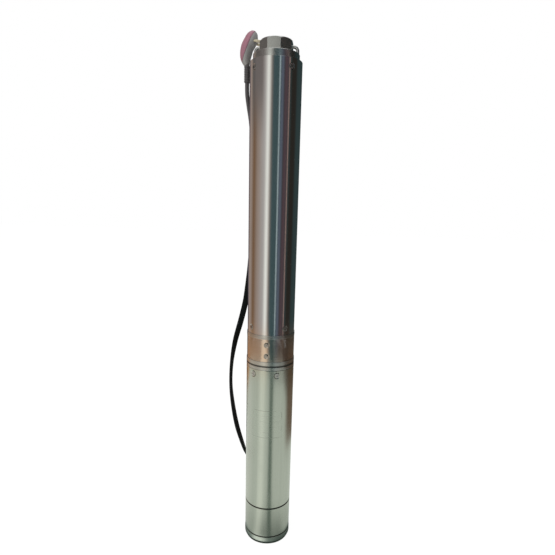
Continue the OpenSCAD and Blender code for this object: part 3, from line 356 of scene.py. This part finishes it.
FINISHES = {
    "casing_steel": drawn_steel("casing_steel", rgb(0.66, 0.655, 0.64), 0.10, 0.05, 0.000012),
    "motor_steel": drawn_steel(
        "motor_steel", rgb(0.54, 0.565, 0.505), 0.20, 0.08, 0.00003, etched_frame,
        CAP_SEAMS),
    "strainer_steel": drawn_steel("strainer_steel", rgb(0.66, 0.60, 0.53), 0.13, 0.05, 0.00002),
    "cast_steel": cast_steel("cast_steel", rgb(0.54, 0.55, 0.53), 0.22, FOOT_SEAMS),
    "bar_steel": turned_metal("bar_steel", rgb(0.64, 0.64, 0.62), 0.16, 0.0004),
    "screw_steel": turned_metal("screw_steel", rgb(0.55, 0.54, 0.52), 0.22, 0.0003),
    "shaft_steel": turned_metal("shaft_steel", rgb(0.58, 0.58, 0.60), 0.14, 0.0003),
    "housing_iron": cast_steel("housing_iron", rgb(0.32, 0.32, 0.31), 0.40),
    "lamination": turned_metal("lamination", rgb(0.20, 0.20, 0.215), 0.36, 0.0),
    "copper": turned_metal("copper", rgb(0.62, 0.25, 0.11), 0.28, 0.0006),
    "cage_alloy": turned_metal("cage_alloy", rgb(0.58, 0.59, 0.60), 0.30, 0.0005),
    "seat_bronze": turned_metal("seat_bronze", rgb(0.52, 0.33, 0.12), 0.24, 0.0004),
    "impeller_resin": moulding("impeller_resin", rgb(0.60, 0.57, 0.42), 0.38, 0.00004),
    "diffuser_resin": moulding("diffuser_resin", rgb(0.022, 0.022, 0.024), 0.42, 0.00004),
    "seal_rubber": moulding("seal_rubber", rgb(0.010, 0.010, 0.010), 0.52, 0.00006),
    "carbon": moulding("carbon", rgb(0.045, 0.045, 0.047), 0.34, 0.00002),
    "ceramic": moulding("ceramic", rgb(0.75, 0.73, 0.66), 0.14, 0.000005),
    "cable_rubber": moulding(
        "cable_rubber", rgb(0.003, 0.0045, 0.005), 0.38, 0.00005, dusty=0.04, shine=0.15,
        paler_at_top=True),
    "plug_rose": moulding("plug_rose", rgb(0.335, 0.155, 0.200), 0.34, 0.00004, 0.3),
    "plug_grey": moulding("plug_grey", rgb(0.335, 0.325, 0.318), 0.40, 0.00004),
    "pin_brass": turned_metal("pin_brass", rgb(0.62, 0.56, 0.42), 0.18, 0.0003),
}


def dress_nodes():
    slots = {part["node"]: part["material_slot"] for part in frame["record"]["subparts"]}
    for name, obj in frame["nodes"].items():
        for slot in obj.material_slots:
            slot.material = FINISHES[slots[name]]


dress_nodes()


# Mesh tools

def piece(name, bm, slot, body=PUMP, smooth=True):
    """A finished bmesh as a piece that rides on a body and takes a slot's finish."""
    mesh = bpy.data.meshes.new(name)
    bm.to_mesh(mesh)
    bm.free()
    mesh.materials.append(FINISHES[slot])
    if smooth:
        mesh.shade_smooth()
    obj = bpy.data.objects.new(name, mesh)
    bpy.context.collection.objects.link(obj)
    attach(obj, body)
    return obj


def made_verts(result):
    return [item for item in result["geom"] if isinstance(item, bmesh.types.BMVert)]


def made_edges(result):
    return [item for item in result["geom"] if isinstance(item, bmesh.types.BMEdge)]


# Flat lead

LEAD_WIDTH = 12 * MM
LEAD_THICKNESS = 6.5 * MM
LEAD_STEPS = 6                       # rings to each stretch of the route
# Centre of the lead, with its height above the gland, and the bearing of its width, in
# millimetres and degrees, as in the source
LEAD_ROUTE = [
    (0, 47, 0, 0), (0, 57, 0, 0), (0, 67, 0, 0), (0, 75, 0, 0), (0, 92, -4, 0),
    (0, 107, -14.5, 0), (0, 118, -31, 0), (0.5, 125.5, -54, 0), (1.5, 130, -84, -2),
    (3, 133, -122, -8), (5, 134, -158, -20), (5.2, 133, -190.5, -31), (3.2, 130.4, -209.3, -36),
    (-2.8, 123, -225.9, -39), (-14.6, 108.2, -240.3, -41), (-29.1, 90.1, -245.5, -43),
    (-42, 74, -241.5, -50), (-53.4, 59.7, -229.4, -62), (-60.7, 50.6, -212, -76),
    (-67, 43.5, -188, -92), (-78, 36, -142, -112), (-86, 32, -92, -100), (-90, 29, -42, -83),
    (-88, 29, 8, -92), (-81, 31, 55, -130), (-70, 34, 98, -164), (-61, 37, 138, -170),
    (-56, 39, 175, -170), (-52, 43, 218, -166), (-49, 45, 268, -158), (-48, 46, 328, -146),
    (-47.5, 45.5, 388, -132), (-48.5, 42, 440, -118), (-51.5, 35, 485, -104), (-54.8, 27, 512, -94),
    (-56.6, 22.6, 529, -91), (-57, 21.2, 541, -90), (-57, 21, 552, -90), (-57, 21, 566, -90),
    (-57, 21, 580.7, -90),
]


def spline(points, steps):
    """A smooth curve through the points, with so many steps between each two."""
    points = [Vector(point) for point in points]
    last = len(points) - 1
    curve = []
    for i in range(last):
        a, b, c, d = (points[min(max(k, 0), last)] for k in range(i - 1, i + 3))
        for k in range(steps):
            t = k / steps
            curve.append(0.5 * (
                2 * b + (c - a) * t + (2 * a - 5 * b + 4 * c - d) * t ** 2
                + (3 * b - a - 3 * c + d) * t ** 3
            ))
    return curve + [points[last]]


def lead_frames(curve):
    """For each point, the matrix that carries the section there: X across, Z along."""
    gland = Vector((0, 0, sum(corner.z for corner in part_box("gland_plate")) / 2))
    frames = []
    for i, point in enumerate(curve):
        ahead = curve[min(i + 1, len(curve) - 1)].to_3d() - curve[max(i - 1, 0)].to_3d()
        ahead.normalize()
        bearing = math.radians(point[3])
        across = Vector((math.cos(bearing), math.sin(bearing), 0))
        across = (across - across.dot(ahead) * ahead).normalized()
        pose = Matrix((across, ahead.cross(across), ahead)).transposed().to_4x4()
        pose.translation = gland + point.to_3d() * MM
        frames.append(pose)
    return frames


def sweep(bm, frames):
    """Carries the one face in a bmesh through the frames and closes the far end."""
    bmesh.ops.transform(bm, matrix=frames[0], verts=bm.verts)
    edges = bm.edges[:]
    for before, after in zip(frames, frames[1:]):
        grown = bmesh.ops.extrude_edge_only(bm, edges=edges)
        bmesh.ops.transform(bm, matrix=after @ before.inverted(), verts=made_verts(grown))
        edges = [edge for edge in made_edges(grown) if edge.is_boundary]
    bmesh.ops.contextual_create(bm, geom=edges)
    bmesh.ops.recalc_face_normals(bm, faces=bm.faces)


# Plug on the lead's end: a moulded teardrop that leans on the neck, in a shell and a base

PLUG_Y = 21 * MM
# Middle of the body across X and Z, half its thickness and half its width, from the lead upwards
PLUG_BODY = [
    (-57, 951, 4.6, 7), (-59, 956.5, 7.2, 10), (-60, 964, 9.6, 13), (-59.2, 972, 10.6, 15.4),
    (-56.8, 981, 11, 17), (-52.2, 988.5, 11.2, 17.6), (-48.4, 996, 10.4, 16.6), (-46, 1001.5, 8.2, 13.6),
    (-45, 1005.2, 5.2, 9), (-44.6, 1007, 2, 4),
]
PLUG_STEPS = 4
PLUG_SPLIT = (Vector((-41.4, 0, 1004)) * MM, Vector((0.90, 0, -0.44)))
PLUG_SEAM = 0.25 * MM


def plug_half(name, slot, side):
    """The body on one side of its split, with its corners rounded."""
    curve = spline(PLUG_BODY, PLUG_STEPS)
    frames = []
    for i, (x, z, thick, wide) in enumerate(curve):
        ahead = (curve[min(i + 1, len(curve) - 1)] - curve[max(i - 1, 0)]).xy.normalized()
        across = Vector((ahead.y, 0, -ahead.x))
        pose = Matrix((across * thick, Vector((0, wide, 0)), across.cross(Vector((0, 1, 0))))).transposed().to_4x4()
        pose = Matrix.Scale(MM, 4) @ pose
        pose.translation = Vector((x * MM, PLUG_Y, z * MM))
        frames.append(pose)
    bm = bmesh.new()
    bmesh.ops.create_circle(bm, segments=32, radius=1, cap_ends=True)
    sweep(bm, frames)
    middle, normal = PLUG_SPLIT
    cut = bmesh.ops.bisect_plane(
        bm, geom=bm.verts[:] + bm.edges[:] + bm.faces[:], plane_co=middle + normal * side * PLUG_SEAM,
        plane_no=normal * side, clear_inner=True,
    )
    bmesh.ops.contextual_create(bm, geom=[
        item for item in cut["geom_cut"] if isinstance(item, bmesh.types.BMEdge)])
    bmesh.ops.recalc_face_normals(bm, faces=bm.faces)
    half = piece(name, bm, slot)
    half.data.set_sharp_from_angle(angle=math.radians(40))
    rounding = half.modifiers.new("rounding", "BEVEL")
    rounding.width = 0.8 * MM
    rounding.segments = 2
    rounding.angle_limit = math.radians(40)
    return half


def add_plug():
    shell = plug_half("plug_back", "plug_rose", -1)
    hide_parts("plug_shell")
    base = plug_half("plug_front", "plug_grey", 1)
    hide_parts("plug_base", "plug_clips")
    return [shell, base] + [frame["nodes"][name] for name in ("plug_pins", "plug_sleeve")]


def add_lead():
    curve = spline(LEAD_ROUTE, LEAD_STEPS)
    frames = lead_frames(curve)
    bm = bmesh.new()
    bmesh.ops.create_circle(bm, segments=24, radius=LEAD_THICKNESS / 2, cap_ends=True)
    for vert in bm.verts:
        vert.co.x += math.copysign((LEAD_WIDTH - LEAD_THICKNESS) / 2, vert.co.x)
    sweep(bm, frames)
    lead = piece("lead", bm, "cable_rubber")
    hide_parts("supply_cable")
    path = [pose.translation for pose in frames]
    length = sum((b - a).length for a, b in zip(path, path[1:]))
    add_plug()


add_lead()


# Perforated strainer sheet

SHEET_R = 47.2 * MM                  # outside of the sheet
SHEET_T = 0.9 * MM
SHEET_LOW, SHEET_HIGH = (corner.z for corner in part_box("intake_strainer"))
SHEET_SEAM = math.radians(-85.6)     # bearing of the slit between the sheet's ends
SHEET_SLIT = 0.6 * MM
SHEET_FRONT = math.radians(-90)      # middle of the plain strip that carries the screws
SHEET_PLAIN = math.radians(11)       # half of the plain strip
HOLE_R = 1.0 * MM
HOLE_ROWS = 12
HOLE_COLUMNS = 66
PLAIN_STEPS = 24
SCREW_HEAD_R = 2.9 * MM
DIMPLE_R = 5.4 * MM                  # the sheet is pressed in round each screw
DIMPLE_DEPTH = 1.0 * MM


def hole_cell(bm, pitch):
    """A round hole in a six-sided cell, with the hole's edges marked as a seam."""
    bmesh.ops.create_circle(bm, segments=12, radius=HOLE_R)
    rim = bm.edges[:]
    for edge in rim:
        edge.seam = True
    grown = bmesh.ops.extrude_edge_only(bm, edges=rim)
    for vert in made_verts(grown):
        bearing = math.degrees(math.atan2(vert.co.y, vert.co.x))
        off_side = math.radians((bearing + 30) % 60 - 30)
        vert.co *= pitch / 2 / math.cos(off_side) / vert.co.length
    for edge in made_edges(grown):
        edge.seam = False


def copies(bm, geom, count, step):
    """Repeats a pattern, each copy a step beyond the one before."""
    for i in range(1, count):
        made = bmesh.ops.duplicate(bm, geom=geom)
        bmesh.ops.translate(bm, vec=step * i, verts=made_verts(made))


def outer_edges(bm, inside):
    return [
        edge for edge in bm.edges
        if edge.is_boundary and not edge.seam and all(inside(vert.co) for vert in edge.verts)
    ]


def grow_to(bm, edges, axis, end, steps):
    """Extrudes a ragged border in steps until it lies straight at end."""
    for step in range(steps, 0, -1):
        grown = bmesh.ops.extrude_edge_only(bm, edges=edges)
        rim = set(made_verts(grown))
        for vert in rim:
            vert.co[axis] += (end - vert.co[axis]) / step
        edges = [edge for edge in made_edges(grown) if rim.issuperset(edge.verts)]


def press_dimples(bm, girth):
    """Presses the flat sheet in round the two screws."""
    low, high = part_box("strainer_screws")
    front = (SHEET_FRONT - SHEET_SEAM) * SHEET_R
    for vert in bm.verts:
        across = (vert.co.x - front + girth / 2) % girth - girth / 2
        for level in (low.z + SCREW_HEAD_R, high.z - SCREW_HEAD_R):
            away = math.hypot(across, vert.co.y - level)
            out = min(max((away - SCREW_HEAD_R) / (DIMPLE_R - SCREW_HEAD_R), 0), 1)
            vert.co.z -= DIMPLE_DEPTH * (1 - out * out * (3 - 2 * out))


def add_strainer():
    girth = 2 * math.pi * SHEET_R
    first = (SHEET_FRONT + SHEET_PLAIN - SHEET_SEAM) * SHEET_R
    last = girth + (SHEET_FRONT - SHEET_PLAIN - SHEET_SEAM) * SHEET_R
    pitch = (last - first) / (HOLE_COLUMNS + 0.5)
    row_pitch = pitch * math.sqrt(3) / 2
    middle = (SHEET_LOW + SHEET_HIGH) / 2
    low_row = middle - row_pitch * (HOLE_ROWS - 1) / 2
    high_row = middle + row_pitch * (HOLE_ROWS - 1) / 2
    bm = bmesh.new()
    hole_cell(bm, pitch)
    bmesh.ops.translate(bm, vec=(first + pitch / 2, low_row, 0), verts=bm.verts)
    copies(bm, bm.verts[:] + bm.edges[:] + bm.faces[:], HOLE_COLUMNS, Vector((pitch, 0, 0)))
    even_row = bm.verts[:] + bm.edges[:] + bm.faces[:]
    odd_row = bmesh.ops.duplicate(bm, geom=even_row)["geom"]
    bmesh.ops.translate(bm, vec=(pitch / 2, row_pitch, 0), verts=[
        item for item in odd_row if isinstance(item, bmesh.types.BMVert)])
    copies(bm, bm.verts[:] + bm.edges[:] + bm.faces[:], HOLE_ROWS // 2, Vector((0, 2 * row_pitch, 0)))
    bmesh.ops.remove_doubles(bm, verts=bm.verts, dist=0.02 * MM)
    corner = 0.28 * pitch
    grow_to(bm, outer_edges(bm, lambda co: co.y > high_row + corner), 1, SHEET_HIGH, 1)
    grow_to(bm, outer_edges(bm, lambda co: co.y < low_row - corner), 1, SHEET_LOW, 1)
    sides = outer_edges(bm, lambda co: True)
    sides = [edge for edge in sides if not all(
        min(abs(vert.co.y - SHEET_LOW), abs(vert.co.y - SHEET_HIGH)) < 1e-6 for vert in edge.verts)]
    half = girth / 2
    grow_to(bm, [e for e in sides if e.verts[0].co.x < half], 0, SHEET_SLIT / 2, PLAIN_STEPS // 3)
    grow_to(bm, [e for e in sides if e.verts[0].co.x > half], 0, girth - SHEET_SLIT / 2, PLAIN_STEPS)
    press_dimples(bm, girth)
    for vert in bm.verts:
        bearing = SHEET_SEAM + vert.co.x / SHEET_R
        reach = SHEET_R + vert.co.z
        vert.co = Vector((reach * math.cos(bearing), reach * math.sin(bearing), vert.co.y))
    bmesh.ops.recalc_face_normals(bm, faces=bm.faces)
    outward = bm.faces[:][0]
    if outward.normal.dot(outward.calc_center_median().to_2d().to_3d()) < 0:
        bmesh.ops.reverse_faces(bm, faces=bm.faces)
    bmesh.ops.solidify(bm, geom=bm.faces[:], thickness=SHEET_T)
    sheet = piece("strainer_sheet", bm, "strainer_steel", smooth=False)
    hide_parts("intake_strainer")


add_strainer()


# Thread in the outlet

BORE_R = 19.475 * MM
BORE_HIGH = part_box("discharge_head")[1].z - 1.5 * MM
BORE_LOW = BORE_HIGH - 19.5 * MM
THREAD_PITCH = 2.309 * MM            # 11 turns to the inch
THREAD_RISE = 0.7 * MM
THREAD_STEPS = 60


def add_outlet_thread():
    turns = int((BORE_HIGH - BORE_LOW) / THREAD_PITCH) - 1
    bm = bmesh.new()
    foot = 0.42 * THREAD_PITCH
    profile = [
        bm.verts.new((BORE_R, 0, BORE_LOW + foot)),
        bm.verts.new((BORE_R - THREAD_RISE, 0, BORE_LOW + 1.2 * foot)),
        bm.verts.new((BORE_R - THREAD_RISE, 0, BORE_LOW + 1.5 * foot)),
        bm.verts.new((BORE_R, 0, BORE_LOW + 2.2 * foot)),
    ]
    face = bm.faces.new(profile)
    steps = turns * THREAD_STEPS
    bmesh.ops.spin(
        bm, geom=[face], cent=(0, 0, 0), axis=(0, 0, 1), angle=turns * 2 * math.pi,
        dvec=(0, 0, THREAD_PITCH / THREAD_STEPS), steps=steps,
    )
    bmesh.ops.recalc_face_normals(bm, faces=bm.faces)
    piece("outlet_thread", bm, "cast_steel", smooth=False)


add_outlet_thread()


# Spring over the check valve

SPRING_WIRE_R = 0.6 * MM
SPRING_TURNS = 4
SPRING_STEPS = 48                    # rings to a turn


def add_valve_spring():
    low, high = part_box("valve_spring")
    bm = bmesh.new()
    wire = bmesh.ops.create_circle(bm, segments=12, radius=SPRING_WIRE_R, cap_ends=True)["verts"]
    bmesh.ops.rotate(bm, cent=(0, 0, 0), matrix=Matrix.Rotation(math.pi / 2, 3, "X"), verts=wire)
    bmesh.ops.translate(bm, vec=(high.x - SPRING_WIRE_R, 0, low.z + SPRING_WIRE_R), verts=wire)
    steps = SPRING_TURNS * SPRING_STEPS
    rise = (high.z - low.z - 2 * SPRING_WIRE_R) / steps
    bmesh.ops.spin(
        bm, geom=bm.faces[:], cent=(0, 0, 0), axis=(0, 0, 1), angle=SPRING_TURNS * 2 * math.pi,
        dvec=(0, 0, rise), steps=steps,
    )
    bmesh.ops.recalc_face_normals(bm, faces=bm.faces)
    spring = piece("valve_coil", bm, "shaft_steel")
    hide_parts("valve_spring")
    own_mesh(spring)


add_valve_spring()


# Studio

FLOOR_HALF = 12
ROOM_R = 0.55                        # the room that the steel mirrors stands this far from the axis
ROOM_HIGH = 1.9
COVE_LOW = 0.185                     # between these heights the room's floor turns into its wall
COVE_HIGH = 0.265
SKIRTING_LOW = 0.24                  # between these the lower, warmer part of the wall ends
SKIRTING_HIGH = 0.37
CURTAIN_LOW = 0.84                   # between these the curtain gives way to the wall over it
CURTAIN_HIGH = 1.06
LOW_SIDES = [(114, 46), (-142, 24)]  # where the wall comes down lower: bearing and half the width
LOW_SOFT = 14
LOW_DROP = 0.085
UNDER_NEAR = 0.0525                  # between these the painted shade under the foot ends
UNDER_FAR = 0.0575
RIM_NEAR = 0.066                     # between these what the foot's rim mirrors ends
RIM_FAR = 0.071
FAR_LOW = 0.40                       # between these distances the brown floor at the back starts
FAR_HIGH = 0.50
SHADE_BEARING = 18                   # the foot's shade is darkest here, in degrees
SHADE_NEAR = 0.07                    # between these distances the foot's shade on the floor ends
SHADE_FAR = 0.20
ROOM_STEPS = 90


def seen_rays(f):
    """1 for rays from the camera, from gloss and through glass, 0 for light on the object."""
    path = f.nodes.new("ShaderNodeLightPath")
    camera, gloss, through = (
        Value(f, path.outputs[name])
        for name in ("Is Camera Ray", "Is Glossy Ray", "Is Transmission Ray")
    )
    return camera.larger(gloss).larger(through)


def pale_floor(name, tint, glow, white):
    """A pale matt surface that shows white to the camera, with a trace of the shadow on it."""
    f = Finish(name)
    matt = f.node("ShaderNodeBsdfDiffuse", {}, {"Color": tint})
    light = f.node("ShaderNodeEmission", {}, {"Color": rgb(1, 1, 1), "Strength": white})
    f.show(f.node("ShaderNodeMixShader", {}, {0: seen_rays(f) * glow, 1: matt, 2: light}).socket)
    return f.material


def in_strips(f, tone, strips):
    """Lays soft-edged upright strips of colour on a tone, by their bearings from the camera."""
    bearing = f.bearing(CAMERA_BEARING)
    for middle, half, soft, tint in strips:
        away = abs((bearing - middle).wrapped(-180, 180))
        tone = f.mix(1 - away.ramp(half - soft, half + soft), tone, tint)
    return tone


def floor_tone(f):
    """The floor as the motor mirrors it: pale, with a dark strip towards the camera and painted shade round the
    foot.
    """
    tone = in_strips(f, rgb(0.66, 0.70, 0.64), [
        (-120, 30, 20, rgb(0.76, 0.78, 0.73)),       # pale floor on the left
        (-36, 13, 11, rgb(0.95, 0.98, 0.90)),        # light from the window
        (8, 8, 5, rgb(0.12, 0.165, 0.135)),          # dark strip
    ])
    reach = (f.along("X") ** 2 + f.along("Y") ** 2) ** 0.5
    far = in_strips(f, tone, [(124, 36, 14, rgb(0.20, 0.145, 0.11))])    # brown floor at the back
    tone = f.mix(reach.ramp(FAR_LOW, FAR_HIGH), tone, far)
    shaded = 1 - reach.ramp(SHADE_NEAR, SHADE_FAR)
    ahead = 1 - abs(f.bearing(CAMERA_BEARING) - SHADE_BEARING).ramp(25, 60)
    tone = f.mix(shaded * (0.30 + ahead * 0.42), tone, rgb(0.15, 0.175, 0.155))
    rim = in_strips(f, rgb(0.26, 0.31, 0.29), [
        (-26, 20, 14, rgb(1.0, 1.06, 1.0)),          # glint on the foot's rim
        (75, 55, 20, rgb(0.12, 0.15, 0.14)),         # painted shade on its dark side
    ])
    tone = f.mix(reach.ramp(RIM_NEAR, RIM_FAR), rim, tone)
    # painted shade right under the foot
    return f.mix(reach.ramp(UNDER_NEAR, UNDER_FAR), rgb(0.05, 0.065, 0.06), tone)


def wall_tone(f):
    """The room round the pump: light and warm on the left, dark on the right, a window ahead."""
    rightward = f.along("X").math("SINE", f.bearing(CAMERA_BEARING) * (math.pi / 180))
    tone = f.mix(rightward.ramp(-0.35, 0.25), rgb(0.41, 0.325, 0.28), rgb(0.038, 0.060, 0.062))
    tone = in_strips(f, tone, [
        (-158, 18, 10, rgb(0.15, 0.12, 0.135)),      # dark corner on the left
        (-98, 13, 14, rgb(0.235, 0.135, 0.075)),     # brown curtain
        (-42, 18, 16, rgb(0.52, 0.49, 0.475)),       # wall beside the window
        (-29.5, 7, 9, rgb(1.13, 1.15, 1.09)),        # window
        (0, 15, 10, rgb(0.065, 0.108, 0.118)),       # dark doorway
        (17, 2.2, 2, rgb(0.50, 0.62, 0.66)),         # teal door edge
        (28, 6, 4, rgb(0.120, 0.145, 0.195)),        # blue shadow
        (45, 9, 7, rgb(0.100, 0.066, 0.078)),        # plum shadow
        (58.5, 2, 1.8, rgb(0.46, 0.31, 0.28)),       # brown post
        (84, 16, 8, rgb(0.030, 0.027, 0.023)),       # black corner
        (180, 9, 6, rgb(1.0, 0.99, 0.95)),           # window at the back
    ])
    low = in_strips(f, tone, [
        (-75, 58, 20, rgb(0.58, 0.37, 0.23)),        # tan skirting
        (-30, 15, 9, rgb(0.92, 0.69, 0.49)),         # light on the skirting
        (9, 13, 4, rgb(0.040, 0.085, 0.095)),        # foot of the doorway
        (62, 30, 16, rgb(0.090, 0.060, 0.043)),      # brown shadow
        (125, 34, 10, rgb(0.120, 0.080, 0.052)),     # brown chest on the right
        (-138, 16, 8, rgb(0.66, 0.36, 0.19)),        # tan wood on the left
    ])
    high = in_strips(f, tone, [
        (-80, 30, 12, rgb(0.21, 0.185, 0.18)),       # grey wall over the curtain
        (-108, 11, 8, rgb(0.155, 0.145, 0.14)),      # its corner
    ])
    tone = f.mix(f.along("Z").ramp(CURTAIN_LOW, CURTAIN_HIGH), tone, high)
    return f.mix(f.along("Z").ramp(SKIRTING_LOW, SKIRTING_HIGH), low, tone)


# A glowing room seen only in reflections: painted reflections of the surroundings, with their light and shade
def mirrored_room(name):
    f = Finish(name)
    low_edge = sum(
        1 - abs(f.bearing(CAMERA_BEARING) - middle).ramp(half - LOW_SOFT, half + LOW_SOFT)
        for middle, half in LOW_SIDES
    ) * LOW_DROP
    rise = (f.along("Z") + low_edge).ramp(COVE_LOW, COVE_HIGH)
    tone = f.mix(rise, floor_tone(f), wall_tone(f))
    f.show(f.node("ShaderNodeEmission", {}, {"Color": tone, "Strength": 1.0}).socket)
    return f.material


def stage_object(name, bm, material):
    mesh = bpy.data.meshes.new(name)
    bm.to_mesh(mesh)
    bm.free()
    mesh.materials.append(material)
    obj = bpy.data.objects.new(name, mesh)
    bpy.context.collection.objects.link(obj)
    return obj


def only_mirrored(obj):
    """Hides a stage object from everything but reflections."""
    obj.visible_camera = False
    obj.visible_diffuse = False
    obj.visible_shadow = False
    obj.visible_transmission = False


def add_floor():
    bm = bmesh.new()
    bmesh.ops.create_grid(bm, x_segments=1, y_segments=1, size=FLOOR_HALF)
    stage_object("floor", bm, pale_floor("floor", rgb(0.80, 0.82, 0.79), 0.82, 1.13))


def add_ring(name, start, end, material):
    """A surface of revolution between two points given as radius and height."""
    bm = bmesh.new()
    foot, head = (bm.verts.new((reach, 0, level)) for reach, level in (start, end))
    edge = bm.edges.new((foot, head))
    bmesh.ops.spin(
        bm, geom=[edge], cent=(0, 0, 0), axis=(0, 0, 1), angle=2 * math.pi, steps=ROOM_STEPS,
        use_merge=True,
    )
    only_mirrored(stage_object(name, bm, material))


def add_lamp(name, place, aim, size, watts, tint):
    data = bpy.data.lights.new(name, "AREA")
    data.shape = "DISK"
    data.size = size
    data.energy = watts
    data.color = tint
    lamp = bpy.data.objects.new(name, data)
    lamp.location = place
    lamp.rotation_mode = "QUATERNION"
    lamp.rotation_quaternion = (Vector(aim) - Vector(place)).to_track_quat("-Z", "Y")
    lamp.visible_glossy = False
    bpy.context.collection.objects.link(lamp)


def add_world():
    world = bpy.data.worlds.new("studio")
    bpy.context.scene.world = world
    world.use_nodes = True
    nodes, links = world.node_tree.nodes, world.node_tree.links
    nodes.clear()
    path = nodes.new("ShaderNodeLightPath")
    seen = nodes.new("ShaderNodeMath")
    seen.operation = "MAXIMUM"
    links.new(path.outputs["Is Camera Ray"], seen.inputs[0])
    links.new(path.outputs["Is Glossy Ray"], seen.inputs[1])
    through = nodes.new("ShaderNodeMath")
    through.operation = "MAXIMUM"
    links.new(seen.outputs[0], through.inputs[0])
    links.new(path.outputs["Is Transmission Ray"], through.inputs[1])
    level = nodes.new("ShaderNodeMapRange")
    links.new(through.outputs[0], level.inputs["Value"])
    level.inputs["To Min"].default_value = 0.55
    level.inputs["To Max"].default_value = 1.0
    background = nodes.new("ShaderNodeBackground")
    background.inputs["Color"].default_value = rgb(1, 1, 1)
    links.new(level.outputs[0], background.inputs["Strength"])
    output = nodes.new("ShaderNodeOutputWorld")
    links.new(background.outputs[0], output.inputs["Surface"])


add_world()
add_floor()
room = mirrored_room("mirrored_room")
add_ring("mirrored_wall", (ROOM_R, 0), (ROOM_R, ROOM_HIGH), room)
add_ring("mirrored_floor", (0.02, 0.5 * MM), (ROOM_R, 0.5 * MM), room)
add_lamp("key", (-1.1, -1.6, 2.2), (0, 0, 0.5), 1.2, 26, (1.0, 0.98, 0.95))
add_lamp("fill", (1.6, -1.2, 1.6), (0, 0, 0.5), 1.4, 10, (0.95, 0.98, 1.0))

bpy.context.scene.view_settings.view_transform = "Standard"
